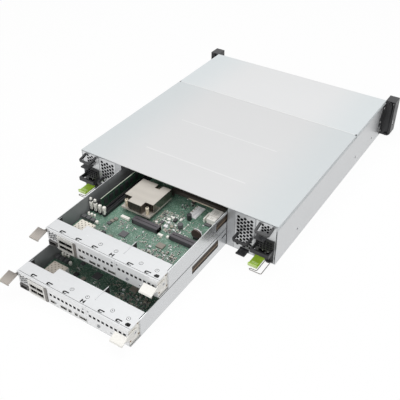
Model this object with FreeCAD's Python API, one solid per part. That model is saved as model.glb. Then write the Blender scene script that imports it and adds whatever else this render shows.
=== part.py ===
"""Two-node rack server: twelve-bay chassis, two node sleds, two supplies, two fan modules.

Sizes are in millimetres. X points right as seen from the rear, Y points to the drive side and
Z up. The origin is the middle of the chassis underside.
"""
import math
import os

import FreeCAD
import Part
from FreeCAD import Vector

# Chassis shell
CHASSIS_W = 438.0
CHASSIS_D = 520.0
CHASSIS_H = 87.0
SHEET = 1.2
COVER_SKIRT = 8.0
FRONT_COVER_D = 174.0
SEAM = 0.4
LIP_LAP = 3.0
NOTCH_W = 3.0
NOTCH_D = 3.0
RAIL_HOLE_R = 2.5
RAIL_HOLES = ((85.0, 23.0), (364.0, 23.0), (460.0, 20.0))

# Running clearances
SIDE_PLAY = 0.4
FLOOR_PLAY = 0.3
TOP_PLAY = 1.0
SLED_PLAY = 0.8
PIN_PLAY = 0.05

# Rack ears
EAR_W = 22.3
EAR_HOLE_X = 13.55
EAR_HOLE_Z = 5.4
EAR_SLOT_R = 3.2
EAR_SLOT_L = 10.0
EAR_DEPTH = 28.0
EAR_BACK = 3.0
EAR_WALL = 1.2
EAR_CHAMFER = 5.0
EAR_EDGE = 0.5
EAR_ARM_D = 24.0

# Rear columns
PSU_W = 39.7
PSU_SHEET = 0.8
DIVIDER = 1.0
FAN_W = 40.0
FAN_L = 110.0
FAN_SHEET = 1.0
POST_W = 15.0
RAIL_W = 5.0
RAIL_T = 1.0

# Drive end
CAGE_D = 163.0
CAGE_WEB = 1.2
COLUMNS = 4
ROWS = 3
CARRIER_PLAY = 0.3
CARRIER_RAIL = 2.2
DRIVE_L = 147.0
BEZEL_T = 6.0
BEZEL_OUT = 1.5
MIDPLANE_T = 3.0
DOCK = 14.0

# Node sleds
SLED_H = 37.5
SLED_SHEET = 1.0
UPPER_OUT = 207.0
LOWER_OUT = 284.0
WALL_START = 27.0
BRIDGE_D = 43.0
BRIDGE_D_LEFT = 28.0
BRIDGE_SLIT = 1.6
FLANGE_D = 3.0
FLANGE_GAP = 0.7
BRACKET_T = 1.2
BRACKET_LAP = 10.0
CHEEK_T = 1.5
CHEEK_GAP = 0.8
PIN_R = 2.0
STANDOFF = 2.0
PCB = 1.6
BOARD_END = 28.0
BOARD_START = 3.0
DIMM_PITCH = 10.0
DIMM_SOCKET_L = 142.0
SLOT_PITCH = 8.56
SLOT_W = 5.4
SLOT_Z = (19.8, 25.0)

half_w = CHASSIS_W / 2
rear = -CHASSIS_D / 2
front = CHASSIS_D / 2
roof = CHASSIS_H - SHEET
lip_in = half_w - 2 * SHEET
module_z0 = SHEET + FLOOR_PLAY
module_z1 = roof - TOP_PLAY
psu_x = lip_in - SIDE_PLAY - PSU_W
divider_x = psu_x - SIDE_PLAY - DIVIDER
fan_x = divider_x - SIDE_PLAY - FAN_W
post_x = fan_x - SIDE_PLAY
bay_half = post_x - POST_W
sled_half = bay_half - SLED_PLAY
sled_in = sled_half - SLED_SHEET
lower_z = SHEET + FLOOR_PLAY
rail_z = lower_z + SLED_H + SIDE_PLAY
upper_z = rail_z + RAIL_T + FLOOR_PLAY
cage_y = front - CAGE_D
midplane_y = cage_y - MIDPLANE_T
module_l = midplane_y - DOCK - rear
board_end = module_l - BOARD_END
board_z = SLED_SHEET + STANDOFF
board_top = board_z + PCB
bridge_z = SLED_H - SLED_SHEET
cheek_x = sled_half - 0.4 - CHEEK_T
panel_half = cheek_x - CHEEK_GAP


def block(x0, x1, y0, y1, z0, z1):
    return Part.makeBox(x1 - x0, y1 - y0, z1 - z0, Vector(x0, y0, z0))


def rod(base, axis, radius, length):
    return Part.makeCylinder(radius, length, Vector(*base), Vector(*axis))


def rect(a0, a1, b0, b1):
    return [(a0, b0), (a1, b0), (a1, b1), (a0, b1)]


def hexagon(a, b, flats):
    radius = flats / math.sqrt(3)
    turns = [math.radians(60 * i) for i in range(6)]
    return [(a + radius * math.cos(t), b + radius * math.sin(t)) for t in turns]


def hex_field(a0, a1, columns, b0, b1, rows, flats):
    """Honeycomb of holes between two corners: every second column is moved half a step."""
    step = (b1 - b0) / (rows - 1)
    holes = []
    for column in range(columns):
        a = a0 + column * (a1 - a0) / (columns - 1)
        odd = column % 2
        holes += [hexagon(a, b0 + (row + odd / 2) * step, flats) for row in range(rows - odd)]
    return holes


def lift(plane, a, b, level):
    if plane == "xy":
        return Vector(a, b, level)
    if plane == "xz":
        return Vector(a, level, b)
    return Vector(level, a, b)


def plate(plane, level, thickness, outline, holes=()):
    """Flat sheet drawn in one plane, holes included, then given its thickness."""
    wires = []
    for points in [outline] + list(holes):
        corners = [lift(plane, a, b, level) for a, b in points]
        wires.append(Part.makePolygon(corners + corners[:1]))
    face = Part.makeFace(wires, "Part::FaceMakerCheese")
    return face.extrude(lift(plane, 0, 0, thickness))


def join(first, *others):
    return first.fuse(list(others)).removeSplitter()


def moved(shape, x, y, z):
    copy = shape.copy()
    copy.translate(Vector(x, y, z))
    return copy


def mirrored(shape):
    return shape.mirror(Vector(0, 0, 0), Vector(1, 0, 0))


def export(node, solids, x=0.0, y=0.0, z=0.0):
    group = solids[0] if len(solids) == 1 else Part.makeCompound(solids)
    moved(group, x, y, z).exportStep("parts/%s.step" % node)


# Chassis: folded tray with a joggled lip, closed by two covers whose skirts sit flush
def chassis_tray():
    wall_top = CHASSIS_H - COVER_SKIRT - SEAM
    inner = half_w - SHEET
    right = [(half_w, 0), (half_w, wall_top), (inner, wall_top), (inner, roof), (lip_in, roof),
             (lip_in, wall_top - LIP_LAP), (inner, wall_top - LIP_LAP), (inner, SHEET)]
    left = [(-a, b) for a, b in reversed(right)]
    tray = plate("xz", rear, CHASSIS_D, right + left)
    holes = [rod((-half_w - 1, rear + y, z), (1, 0, 0), RAIL_HOLE_R, CHASSIS_W + 2)
             for y, z in RAIL_HOLES]
    between = block(-lip_in, lip_in, rear, front, SHEET, roof)
    return tray.cut([hole.cut(between) for hole in holes])


def cover(y0, y1, notch_y):
    """Lid with side skirts; a tool notch in each skirt corner at the seam frees it."""
    skirt = CHASSIS_H - COVER_SKIRT
    inner = half_w - SHEET
    profile = [(-half_w, skirt), (-half_w, CHASSIS_H), (half_w, CHASSIS_H), (half_w, skirt),
               (inner, skirt), (inner, roof), (-inner, roof), (-inner, skirt)]
    lid = plate("xz", y0, y1 - y0, profile)
    reach = NOTCH_D if notch_y == y1 else 0.0
    start = notch_y - reach
    return lid.cut([block(s * half_w - NOTCH_W, s * half_w + NOTCH_W, start, start + NOTCH_D,
                          skirt - 1, CHASSIS_H + 1) for s in (-1, 1)])


# Bay walls: channel posts beside the node bay, shelf rails for the upper node, supply dividers
def bay_walls():
    wall_front = midplane_y - 1.0
    inner = post_x - SHEET
    post = [(bay_half, rear), (post_x, rear), (post_x, rear + FAN_L), (inner, rear + FAN_L),
            (inner, rear + SHEET), (bay_half + SHEET, rear + SHEET),
            (bay_half + SHEET, wall_front), (bay_half, wall_front)]
    channel = plate("xy", SHEET, roof - SHEET, post)
    shelf = block(bay_half - RAIL_W, bay_half, rear + 2.0, wall_front, rail_z, rail_z + RAIL_T)
    divider = block(divider_x, divider_x + DIVIDER, rear, wall_front, SHEET, roof)
    right = [channel, shelf, divider]
    return right + [mirrored(piece) for piece in right]


# Drive end: one egg-crate cage, the midplane behind it and a carrier for each bay
bay_w = (2 * lip_in - (COLUMNS + 1) * CAGE_WEB) / COLUMNS
bay_h = (roof - SHEET - (ROWS + 1) * CAGE_WEB) / ROWS


def bay_centre(column, row):
    x = -lip_in + CAGE_WEB + bay_w / 2 + column * (bay_w + CAGE_WEB)
    z = SHEET + CAGE_WEB + bay_h / 2 + row * (bay_h + CAGE_WEB)
    return x, z


def bays():
    return [bay_centre(column, row) for row in range(ROWS) for column in range(COLUMNS)]


def drive_cage():
    openings = [rect(x - bay_w / 2, x + bay_w / 2, z - bay_h / 2, z + bay_h / 2)
                for x, z in bays()]
    outline = rect(-lip_in, lip_in, SHEET, roof)
    return plate("xz", cage_y, CAGE_D, outline, openings)


def midplane():
    vents = [rect(x - 46, x - 26, z - 7, z + 7) for x, z in bays()]
    pieces = [plate("xz", midplane_y, MIDPLANE_T, rect(-lip_in, lip_in, SHEET, roof), vents)]
    for x, z in bays():
        pieces.append(block(x - 20, x + 22, cage_y, cage_y + 6, z - 3, z + 3))
    for level in (lower_z, upper_z):
        pieces.append(block(-44, 44, midplane_y - 9, midplane_y, level + 9, level + 21))
    for left in (-psu_x - PSU_W, psu_x):
        pieces.append(block(left + 8, left + PSU_W - 8, midplane_y - 9, midplane_y, 20, 40))
    for left in (-fan_x - FAN_W, fan_x):
        start = rear + FAN_L + 2.0
        pieces.append(block(left + 4, left + FAN_W - 4, start, midplane_y, SHEET, SHEET + PCB))
        pieces.append(block(left + 8, left + FAN_W - 8, start, start + 10, SHEET + PCB, SHEET + 11))
    return pieces


def drive_carrier():
    """Carrier at its bay centre: vented bezel with two side rails, drive, lever and button."""
    w = bay_w / 2 - CARRIER_PLAY
    h = bay_h / 2 - CARRIER_PLAY
    face = front + BEZEL_OUT
    back = face - BEZEL_T
    vents = [rect(w - 34 + 4 * i, w - 32 + 4 * i, -h + 4, h - 4) for i in range(7)]
    bezel = plate("xz", back, BEZEL_T, rect(-w, w, -h, h), vents)
    rails = [block(s * w - (CARRIER_RAIL if s > 0 else 0), s * w + (CARRIER_RAIL if s < 0 else 0),
                   back - DRIVE_L - 1, back, -h, h - 4) for s in (-1, 1)]
    drive = block(-w + CARRIER_RAIL, w - CARRIER_RAIL, back - DRIVE_L - 1, back - 1, -h, h - 0.6)
    grip = [(-w + 18, face), (w - 38, face), (w - 40, face + 3), (-w + 24, face + 5),
            (-w + 18, face + 5)]
    lever = plate("xy", -h + 4, 2 * h - 8, grip)
    button = block(-w + 5, -w + 16, face, face + 3, -h + 7, h - 7)
    return [join(bezel, *rails), drive, lever, button]


# Rack ears: open-fronted shells on a side arm, slotted for the rack posts
def rack_ear():
    tip = half_w + EAR_W
    top = CHASSIS_H
    c = EAR_CHAMFER
    outer = [(half_w, EAR_EDGE), (tip - c, EAR_EDGE), (tip, EAR_EDGE + c), (tip, top), (half_w, top)]
    t = EAR_WALL
    pocket = [(half_w + t, EAR_EDGE + t), (tip - c, EAR_EDGE + t), (tip - t, EAR_EDGE + c),
              (tip - t, top - t), (half_w + t, top - t)]
    shell = plate("xz", front, EAR_DEPTH, outer)
    shell = shell.cut(plate("xz", front + EAR_BACK, EAR_DEPTH, pocket))
    arm = [(front - EAR_ARM_D, 30), (front - EAR_ARM_D, 52), (front - 14, 62), (front - 14, 76),
           (front + 1, 76), (front + 1, 3), (front - 8, 3), (front - 8, 30)]
    shell = join(shell, plate("yz", half_w, t, arm))
    window = block(half_w + 8, tip + 1, front + EAR_BACK + 4, front + EAR_BACK + 11, 26, 40)
    straight = EAR_SLOT_L - 2 * EAR_SLOT_R
    slots = []
    for z in (EAR_HOLE_Z, CHASSIS_H - EAR_HOLE_Z):
        x = half_w + EAR_HOLE_X
        slots.append(block(x - straight / 2, x + straight / 2, front - 1, front + EAR_BACK + 1,
                           z - EAR_SLOT_R, z + EAR_SLOT_R))
        for end in (-1, 1):
            slots.append(rod((x + end * straight / 2, front - 1, z), (0, 1, 0), EAR_SLOT_R,
                             EAR_BACK + 2))
    return shell.cut([window] + slots)


# Power supply, drawn from its left lower corner: u runs across, y from the rear face
GRIP_Z = 5.0
GRIP_X = (5.8, 35.0)
GRIP_DROP = 14.0
GRIP_BAR = 4.0
GRIP_OUT = 21.0
LOOP_OUT = 20.5
BLOCK_TOP = 52.0
FACE_OUT = 1.5
LATCH_Y = 4.0
LATCH_Z = 5.4
LATCH_PIN_R = 1.0
LATCH_BARREL_R = 2.4
BAIL_R = 0.75
BAIL_Y = -2.9
BAIL_Z = 3.7
BAIL_LEGS = (24.2, 34.6)
BAIL_BEND = 1.6
BAIL_SIDES = 12


def psu_case():
    shell = block(0, PSU_W, 0, module_l, module_z0, module_z1)
    t = PSU_SHEET
    hollow = block(t, PSU_W - t, t, module_l - t, module_z0 + t, module_z1 - t)
    holes = hex_field(12.9, PSU_W - 10.9, 4, module_z1 - 18.8, module_z1 - 6.2, 3, 4.8)
    window = rect(1.5, PSU_W - 1.5, module_z0 + t, BLOCK_TOP)
    cutters = [plate("xz", -1, t + 2, points) for points in holes + [window]]
    return shell.cut([hollow] + cutters)


def psu_face():
    x0, x1 = 1.5, PSU_W - 1.5
    z0 = module_z0 + PSU_SHEET
    body = block(x0, x1, -FACE_OUT, 20, z0, BLOCK_TOP)
    inlet = block(9, 31, -FACE_OUT - 1, 15, 10.5, 25.5)
    notch = block(x0 + 1.5, 22.8, -FACE_OUT - 1, 9, z0 - 1, 9.6)
    grid = [block(5 + 6.2 * i, 9.6 + 6.2 * i, -FACE_OUT - 1, 0.8, 28 + 5 * k, 31.8 + 5 * k)
            for i in range(5) for k in range(4)]
    body = body.cut([inlet, notch] + grid)
    pin = rod((x0 + 0.5, LATCH_Y, LATCH_Z), (1, 0, 0), LATCH_PIN_R, 22.0)
    legs = BAIL_LEGS
    lap = BAIL_BEND + 0.4
    lug = block(legs[0] + lap, legs[1] - lap, BAIL_Y - 1.9, -FACE_OUT, z0, BAIL_Z + 2.2)
    bore = rod((legs[0], BAIL_Y, BAIL_Z), (1, 0, 0), BAIL_R + PIN_PLAY, legs[1] - legs[0])
    body = join(body, pin, lug).cut(bore)
    loop = [(x0, -FACE_OUT), (x0, -LOOP_OUT), (x1, -LOOP_OUT), (x1, -FACE_OUT),
            (x1 - 2.6, -FACE_OUT), (x1 - 2.6, 4 - LOOP_OUT), (x0 + 2.6, 4 - LOOP_OUT),
            (x0 + 2.6, -FACE_OUT)]
    guard = plate("xy", 26.4, 8, loop)
    shelf = block(6.0, 25.0, -17, 0, BLOCK_TOP + 5.0, BLOCK_TOP + 7.5)
    return [body, guard, shelf, psu_grip()]


def psu_grip():
    """Bow handle, drawn level, then tipped down about its feet and trimmed flat to the case."""
    u0, u1 = GRIP_X
    b = GRIP_BAR
    out = GRIP_OUT
    bow = [(u0, 4), (u0, 3 - out), (u0 + 3, -out), (u1 - 3, -out), (u1, 3 - out), (u1, 4), (u1 - b, 4),
           (u1 - b, b + 1 - out), (u1 - b - 1, b - out), (u0 + b + 1, b - out), (u0 + b, b + 1 - out),
           (u0 + b, 4)]
    z = module_z1 - GRIP_Z
    grip = plate("xy", z - b / 2, b, bow)
    grip.rotate(Vector(0, 0, z), Vector(1, 0, 0), GRIP_DROP)
    return grip.cut(block(0, PSU_W, 0, 8, z - 8, z + 8))


def latch(u0, u1, out, lip):
    """Sprung release tab: flat paddle with a raised end lip, turning on a cross pin."""
    paddle = [(-out, LATCH_Z - 1.1), (LATCH_Y + 3, LATCH_Z - 1.1), (LATCH_Y + 3, LATCH_Z + 1.1),
              (3.0 - out, LATCH_Z + 1.1), (2.4 - out, LATCH_Z + lip), (-out, LATCH_Z + lip)]
    tab = plate("yz", u0, u1 - u0, paddle)
    barrel = rod((u0, LATCH_Y, LATCH_Z), (1, 0, 0), LATCH_BARREL_R, u1 - u0)
    bore = rod((u0 - 1, LATCH_Y, LATCH_Z), (1, 0, 0), LATCH_PIN_R + PIN_PLAY, u1 - u0 + 2)
    return join(tab, barrel).cut(bore)


def psu_bail():
    """Cord bail of wire: two legs, a side loop and an end bar, lofted through a ring at each bend."""
    a, b = BAIL_LEGS
    y = BAIL_Y
    path = [(a + 3.4, y), (a, y), (a, y - 31.4), (a - 13.4, y - 31.4), (a - 13.4, y - 35.2),
            (b, y - 35.2), (b, y), (b - 3.4, y)]
    corners = [Vector(u, v, BAIL_Z) for u, v in path]
    line = corners[:1]
    for before, corner, after in zip(corners, corners[1:], corners[2:]):
        line.append(corner + (before - corner).normalize() * BAIL_BEND)
        line.append(corner + (after - corner).normalize() * BAIL_BEND)
    line += corners[-1:]
    runs = [(end - start).normalize() for start, end in zip(line, line[1:])]
    up = Vector(0, 0, BAIL_R)
    rings = []
    for point, before, after in zip(line, runs[:1] + runs, runs + runs[-1:]):
        across = up.cross((before + after).normalize()) / math.cos(before.getAngle(after) / 2)
        turns = [2 * math.pi * i / BAIL_SIDES for i in range(BAIL_SIDES + 1)]
        rings.append(Part.makePolygon([point + up * math.cos(t) + across * math.sin(t) for t in turns]))
    return Part.makeLoft(rings, True, True)


# Fan module, drawn like the supply: perforated duct, fan frame with two bores, two rotors
FAN_FRAME_WALL = 0.6
FAN_WEB = 3.6
FAN_FRAME_Y = 12.0
FAN_FRAME_T = 28.0
HUB_R = 8.0
SHAFT_R = 1.5
TIP_GAP = 0.6
FAN_TAB = (13.0, 31.0)
FAN_HANDLE_Z = 35.5
GRILLE_EDGE = 6.8
GRILLE_LOW = 13.4
GRILLE_HIGH = 9.0
fan_bore_r = FAN_W / 2 - FAN_SHEET - FAN_FRAME_WALL
fan_mid_z = (module_z0 + module_z1) / 2
fan_levels = (fan_mid_z - fan_bore_r - FAN_WEB / 2, fan_mid_z + fan_bore_r + FAN_WEB / 2)


def fan_case():
    t = FAN_SHEET
    shell = block(0, FAN_W, 0, FAN_L, module_z0, module_z1)
    duct = block(t, FAN_W - t, t, FAN_L + 1, module_z0 + t, module_z1 - t)
    notch = block(FAN_TAB[0] - 0.5, FAN_TAB[1] + 0.5, -1, 11, module_z0 - 1, 9.0)
    spread = FAN_W / 2 - GRILLE_EDGE
    holes = hex_field(FAN_W / 2 - spread, FAN_W / 2 + spread, 5, GRILLE_LOW, module_z1 - GRILLE_HIGH, 9, 6.0)
    cutters = [plate("xz", -1, t + 2, points) for points in holes]
    shell = shell.cut([duct, notch] + cutters)
    ears = [block(u, u + 1.5, t, 9, module_z0 + t, 9.4)
            for u in (FAN_TAB[0] - 2.0, FAN_TAB[1] + 0.5)]
    pin = rod((FAN_TAB[0] - 1.0, LATCH_Y, LATCH_Z), (1, 0, 0), LATCH_PIN_R,
              FAN_TAB[1] - FAN_TAB[0] + 2.0)
    shell = join(shell, pin, *ears)
    mid = FAN_W / 2
    end = FAN_FRAME_Y + FAN_FRAME_T
    frame = block(t, FAN_W - t, FAN_FRAME_Y, end, module_z0 + t, module_z1 - t)
    for z in fan_levels:
        frame = frame.cut(rod((mid, FAN_FRAME_Y - 1, z), (0, 1, 0), fan_bore_r, FAN_FRAME_T + 2))
        hub = rod((mid, FAN_FRAME_Y, z), (0, 1, 0), HUB_R, 3.0)
        arms = []
        for turn in (30, 150, 270):
            arm = block(mid - 1, mid + 1, FAN_FRAME_Y, FAN_FRAME_Y + 3, z, z + fan_bore_r + 0.4)
            arm.rotate(Vector(mid, 0, z), Vector(0, 1, 0), turn)
            arms.append(arm)
        socket = rod((mid, FAN_FRAME_Y - 1, z), (0, 1, 0), SHAFT_R + PIN_PLAY, 5.0)
        frame = join(frame, hub, *arms).cut(socket)
    return [shell, frame]


def fan_rotor(z):
    """Rotor on its shaft: cup hub with seven pitched blades in a circular pattern."""
    mid = FAN_W / 2
    y0 = FAN_FRAME_Y + 3.5
    cup = rod((mid, y0, z), (0, 1, 0), HUB_R, 18.0)
    shaft = rod((mid, FAN_FRAME_Y + 0.5, z), (0, 1, 0), SHAFT_R, 4.0)
    blades = []
    for i in range(7):
        blade = block(mid - 0.6, mid + 0.6, y0 + 1, y0 + 17, z + HUB_R - 1,
                      z + fan_bore_r - TIP_GAP - 0.6)
        blade.rotate(Vector(mid, y0 + 9, z), Vector(0, 0, 1), 38)
        blade.rotate(Vector(mid, y0 + 9, z), Vector(0, 1, 0), 360.0 / 7 * i)
        blades.append(blade)
    return join(cup, shaft, *blades)


def fan_handle():
    u0, u1, out, b = 5.5, FAN_W - 2.5, 22.0, 4.0
    bow = [(u0, 0), (u0, 4 - out), (u0 + 4, -out), (u1 - 4, -out), (u1, 4 - out), (u1, 0),
           (u1 - b, 0), (u1 - b, 5 - out), (u1 - b - 1, b - out), (u0 + b + 1, b - out),
           (u0 + b, 5 - out), (u0 + b, 0)]
    return plate("xy", FAN_HANDLE_Z, 5.0, bow)


# Node sled, drawn with its panel at y = 0 and its floor at z = 0. It is laid out in columns across
# its width: left-hand items are counted from the left wall and right-hand items from the right wall.
SLED_COLUMNS = 237
column_w = 2 * sled_half / SLED_COLUMNS


def lx(columns):
    return -sled_half + columns * column_w


def rx(columns):
    return sled_half - columns * column_w


CAGE_X = (27.5, 59.5)
CAGE_L = 60.0
CAGE_TOP = 27.0
JACK_X = (5.0, 23.0)
JACK_TOP = 14.0
JACK_OUT = 3.0
BUTTON_X = 62.7
BUTTON_Z = 9.5
BUTTON_R = 2.6
LEVER_Y = 14.0
LEFT_PIVOT_DROP = 8.5
RIGHT_PIVOT_Z = 20.0
CARD_DIVIDER_X = 84.5
DIVIDER_D = 55.0
RIB_H = 0.9
left_pivot_z = bridge_z - LEFT_PIVOT_DROP
SMALL_PORTS = ((71.5, 81.5, 10.2), (93.5, 107.5, 10.0), (110.5, 117.0, 10.6),
               (124.1, 130.7, 10.6), (133.5, 149.5, 9.6))
PANEL_SEAM_X = 150.1
PANEL_SEAM = 0.3
BRACE_BACK = 86.0
BRACE_TOP = 20.0


def sled_tray():
    t = SLED_SHEET
    profile = [(-sled_half, 0), (sled_half, 0), (sled_half, SLED_H), (sled_in, SLED_H),
               (sled_in, t), (-sled_in, t), (-sled_in, SLED_H), (-sled_half, SLED_H)]
    tray = plate("xz", 0, module_l, profile)
    wide = sled_half + 1
    rear_gap = block(-wide, wide, -1, WALL_START, t, SLED_H + 1)
    window = block(-wide, wide, module_l - 169, module_l - 85, 14.5, 32)
    catch = block(-wide, wide, module_l - 73, module_l - 58, 24, 27)
    return tray.cut([rear_gap, window, catch])


def brace():
    """Steel angle that bridges the board on three feet, with two guide posts at its back."""
    y0 = board_end - BRACE_BACK
    x0, x1 = lx(103.0), rx(14.0)
    angle = [(y0, BRACE_TOP - 8), (y0 + 1, BRACE_TOP - 8), (y0 + 1, BRACE_TOP - 1), (y0 + 7, BRACE_TOP - 1),
             (y0 + 7, BRACE_TOP), (y0, BRACE_TOP)]
    feet = [block(x, x + 6, y0, y0 + 1, board_top, BRACE_TOP - 7) for x in (x0, lx(150.0), x1 - 6)]
    posts = [block(x, x + 3, y0 + 6, y0 + 7, BRACE_TOP - 1, BRACE_TOP + 14) for x in (lx(107.0), rx(42.0))]
    return join(plate("yz", x0, x1 - x0, angle), *(feet + posts))


def panel_openings():
    openings = hex_field(lx(7.4), lx(22.9), 5, 18.6, 31.5, 4, 3.4 * column_w)
    openings.append(rect(lx(JACK_X[0]), lx(JACK_X[1]), board_top, JACK_TOP))
    openings.append(rect(lx(CAGE_X[0]), lx(CAGE_X[1]), board_top, CAGE_TOP))
    slot_x = lx(71.7)
    while slot_x + SLOT_W < lx(PANEL_SEAM_X) - 2:
        openings.append(rect(slot_x, slot_x + SLOT_W, *SLOT_Z))
        slot_x += SLOT_PITCH
    slot_x = rx(7.7)
    while slot_x - SLOT_W > lx(PANEL_SEAM_X) + 2:
        openings.append(rect(slot_x - SLOT_W, slot_x, *SLOT_Z))
        slot_x -= SLOT_PITCH
    for a0, a1, top in SMALL_PORTS:
        openings.append(rect(lx(a0), lx(a1), board_top, top))
    return openings


def rear_panel():
    """Ported panel in two flanged halves, slotted bridge plate, card divider, lever brackets and pins."""
    t = SLED_SHEET
    openings = panel_openings()
    seam = lx(PANEL_SEAM_X)
    left = plate("xz", 0, t, rect(-panel_half, seam - PANEL_SEAM / 2, t, bridge_z),
                 [hole for hole in openings if hole[0][0] < seam])
    left = join(left, block(-sled_half, seam - PANEL_SEAM / 2, 0, FLANGE_D, bridge_z, bridge_z + t))
    right = plate("xz", 0, t, rect(seam + PANEL_SEAM / 2, panel_half, t, bridge_z),
                  [hole for hole in openings if hole[0][0] > seam])
    right = join(right, block(seam + PANEL_SEAM / 2, sled_half, 0, FLANGE_D, bridge_z, bridge_z + t))
    x = rx(BUTTON_X)
    right = right.cut(rod((x, -1, BUTTON_Z), (0, 1, 0), BUTTON_R + 0.4, t + 2))
    s = sled_in - BRIDGE_SLIT
    step = lx(CAGE_X[1] - 3.0)
    lap = FLANGE_D + FLANGE_GAP
    outline = [(-sled_half, lap), (sled_half, lap), (sled_half, WALL_START), (s, WALL_START),
               (s, BRIDGE_D), (step, BRIDGE_D), (step, BRIDGE_D_LEFT), (-s, BRIDGE_D_LEFT),
               (-s, WALL_START), (-sled_half, WALL_START)]
    slots = []
    for x in (lx(28.0), lx(63.0), lx(98.0), rx(65.5), rx(30.5)):
        slots.append([(x, 5.0), (x + 8, 5.0), (x + 8, 6.2), (x + 2.2, 6.2), (x + 2.2, 8.2),
                      (x + 10, 8.2), (x + 10, 10.6), (x + 1, 10.6), (x, 9.6)])
    h = lx(134.0)
    slots.append([(h, 5), (h + 2.4, 5), (h + 2.4, 7.6), (h + 5.6, 7.6), (h + 5.6, 5), (h + 8, 5),
                  (h + 8, 12), (h + 5.6, 12), (h + 5.6, 9.6), (h + 2.4, 9.6), (h + 2.4, 12), (h, 12)])
    d = rx(9.5)
    slots.append([(d - 3, 5.6), (d + 3.4, 5.6), (d + 4.8, 8), (d + 3.4, 12.4), (d - 2.6, 12.4), (d - 4.8, 8.6)])
    bridge = plate("xy", bridge_z, t, outline, slots)
    x = rx(CARD_DIVIDER_X)
    top = bridge_z + t
    rib = [(t, 15), (DIVIDER_D, 15), (DIVIDER_D, top + RIB_H), (BRIDGE_D / 2, top + RIB_H), (BRIDGE_D / 2, top),
           (BRIDGE_D + 0.2, top), (BRIDGE_D + 0.2, bridge_z), (t, bridge_z)]
    pieces = [left, right, bridge, plate("yz", x - 0.6, 1.2, rib)]
    for side, z in ((-1, left_pivot_z), (1, RIGHT_PIVOT_Z)):
        near = side * (panel_half - BRACKET_T)
        x0 = min(near, side * panel_half)
        bracket = block(x0, x0 + BRACKET_T, t, WALL_START + BRACKET_LAP, t, bridge_z)
        pin = rod((near, LEVER_Y, z), (side, 0, 0), PIN_R, BRACKET_T + CHEEK_GAP + CHEEK_T)
        pieces.append(join(bracket, pin))
    return pieces


def lever(side, pivot_z, arm, tongue, inner, outer):
    """Bent lever: a cheek beside the wall on its pivot pin and a finger plate behind the panel."""
    x0 = cheek_x if side > 0 else -cheek_x - CHEEK_T
    cheek = plate("yz", x0, CHEEK_T, arm)
    boss = rod((x0, LEVER_Y, pivot_z), (1, 0, 0), 7.0, CHEEK_T)
    bore = rod((x0 - 1, LEVER_Y, pivot_z), (1, 0, 0), PIN_R + PIN_PLAY, CHEEK_T + 2)
    finger = plate("yz", inner, outer - inner, tongue)
    return join(cheek, boss, finger).cut(bore)


def left_lever():
    z = left_pivot_z
    arm = [(LEVER_Y, z + 7), (-1.5, z + 7), (-4.5, z + 8.6), (-7, z + 8.6), (-7, z + 5),
           (-2, z + 1.5), (LEVER_Y, z - 7)]
    tongue = [(-4.5, z + 8.6), (-4.5, z + 6.8), (-25.6, z + 2.2), (-25.2, z + 0.6), (-27, z + 0.2),
              (-27.4, z + 3.6)]
    return lever(-1, left_pivot_z, arm, tongue, lx(-13.0), lx(7.0))


def right_lever():
    z = RIGHT_PIVOT_Z
    arm = [(LEVER_Y, z + 7), (-1, z + 7), (-5, z + 5.4), (-9, z + 4), (-9, z + 0.5), (-3, z - 3),
           (LEVER_Y, z - 7)]
    tongue = [(-4, z + 5.8), (-4, z + 4), (-17.2, z - 1.4), (-18.2, z - 3.2), (-19.6, z - 2.6),
              (-18.4, z + 0.2)]
    return lever(1, RIGHT_PIVOT_Z, arm, tongue, rx(25.0), cheek_x + CHEEK_T)


def power_button():
    x = rx(BUTTON_X)
    stem = rod((x, -1.6, BUTTON_Z), (0, 1, 0), BUTTON_R, 7.6)
    collar = rod((x, SLED_SHEET + 0.4, BUTTON_Z), (0, 1, 0), BUTTON_R + 1.0, 1.2)
    return join(stem, collar)


def board():
    half = panel_half - BRACKET_T - 0.4
    pieces = [block(-half, half, BOARD_START, board_end, board_z, board_top)]
    for x in (lx(16.0), lx(58.0), rx(66.0), rx(12.0)):
        for y in (66.0, board_end - 84.0, board_end - 12.0):
            pieces.append(plate("xy", SLED_SHEET, STANDOFF, hexagon(x, y, 6.0)))
    return pieces


SINK = (52.0, 115.5, 138.0, 208.0)
SINK_BASE = 12.0
SINK_TOP = 34.5
SINK_FINS = 20
FIN_T = 0.8


def heatsink():
    """Stack of folded fins on a base: tunnels along the air path, notched for the spring screws."""
    x0, x1 = lx(SINK[0]), lx(SINK[1])
    foot = SINK_BASE + 3.5
    pitch = (x1 - x0 - FIN_T) / (SINK_FINS - 1)
    tunnels = [rect(x0 + FIN_T + i * pitch, x0 + (i + 1) * pitch, foot, SINK_TOP - FIN_T)
               for i in range(SINK_FINS - 1)]
    sink = plate("xz", SINK[2], SINK[3] - SINK[2], rect(x0, x1, SINK_BASE, SINK_TOP), tunnels)
    notches = [block(x0 - 1, x0 + 17, SINK[2] - 1, SINK[2] + 14, foot, SINK_TOP + 1),
               block(x1 - 17, x1 + 1, SINK[2] - 1, SINK[2] + 14, foot, SINK_TOP + 1),
               block(x0 + 34.7, x0 + 45.7, SINK[3] - 12, SINK[3] + 1, foot, SINK_TOP + 1)]
    return sink.cut(notches)


DIMM_Y = 109.0
DIMM_X = 6.5
SOCKET_TOP = 12.0
SOCKET_SLOT = 1.6
LATCH_LEAN = 2.0
LATCH_TOP = 28.0
CARD_SLOT_H = 9.6
CARD_SLOT_D = 11.6
CARD_SLOT_Y = 125.2


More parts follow.
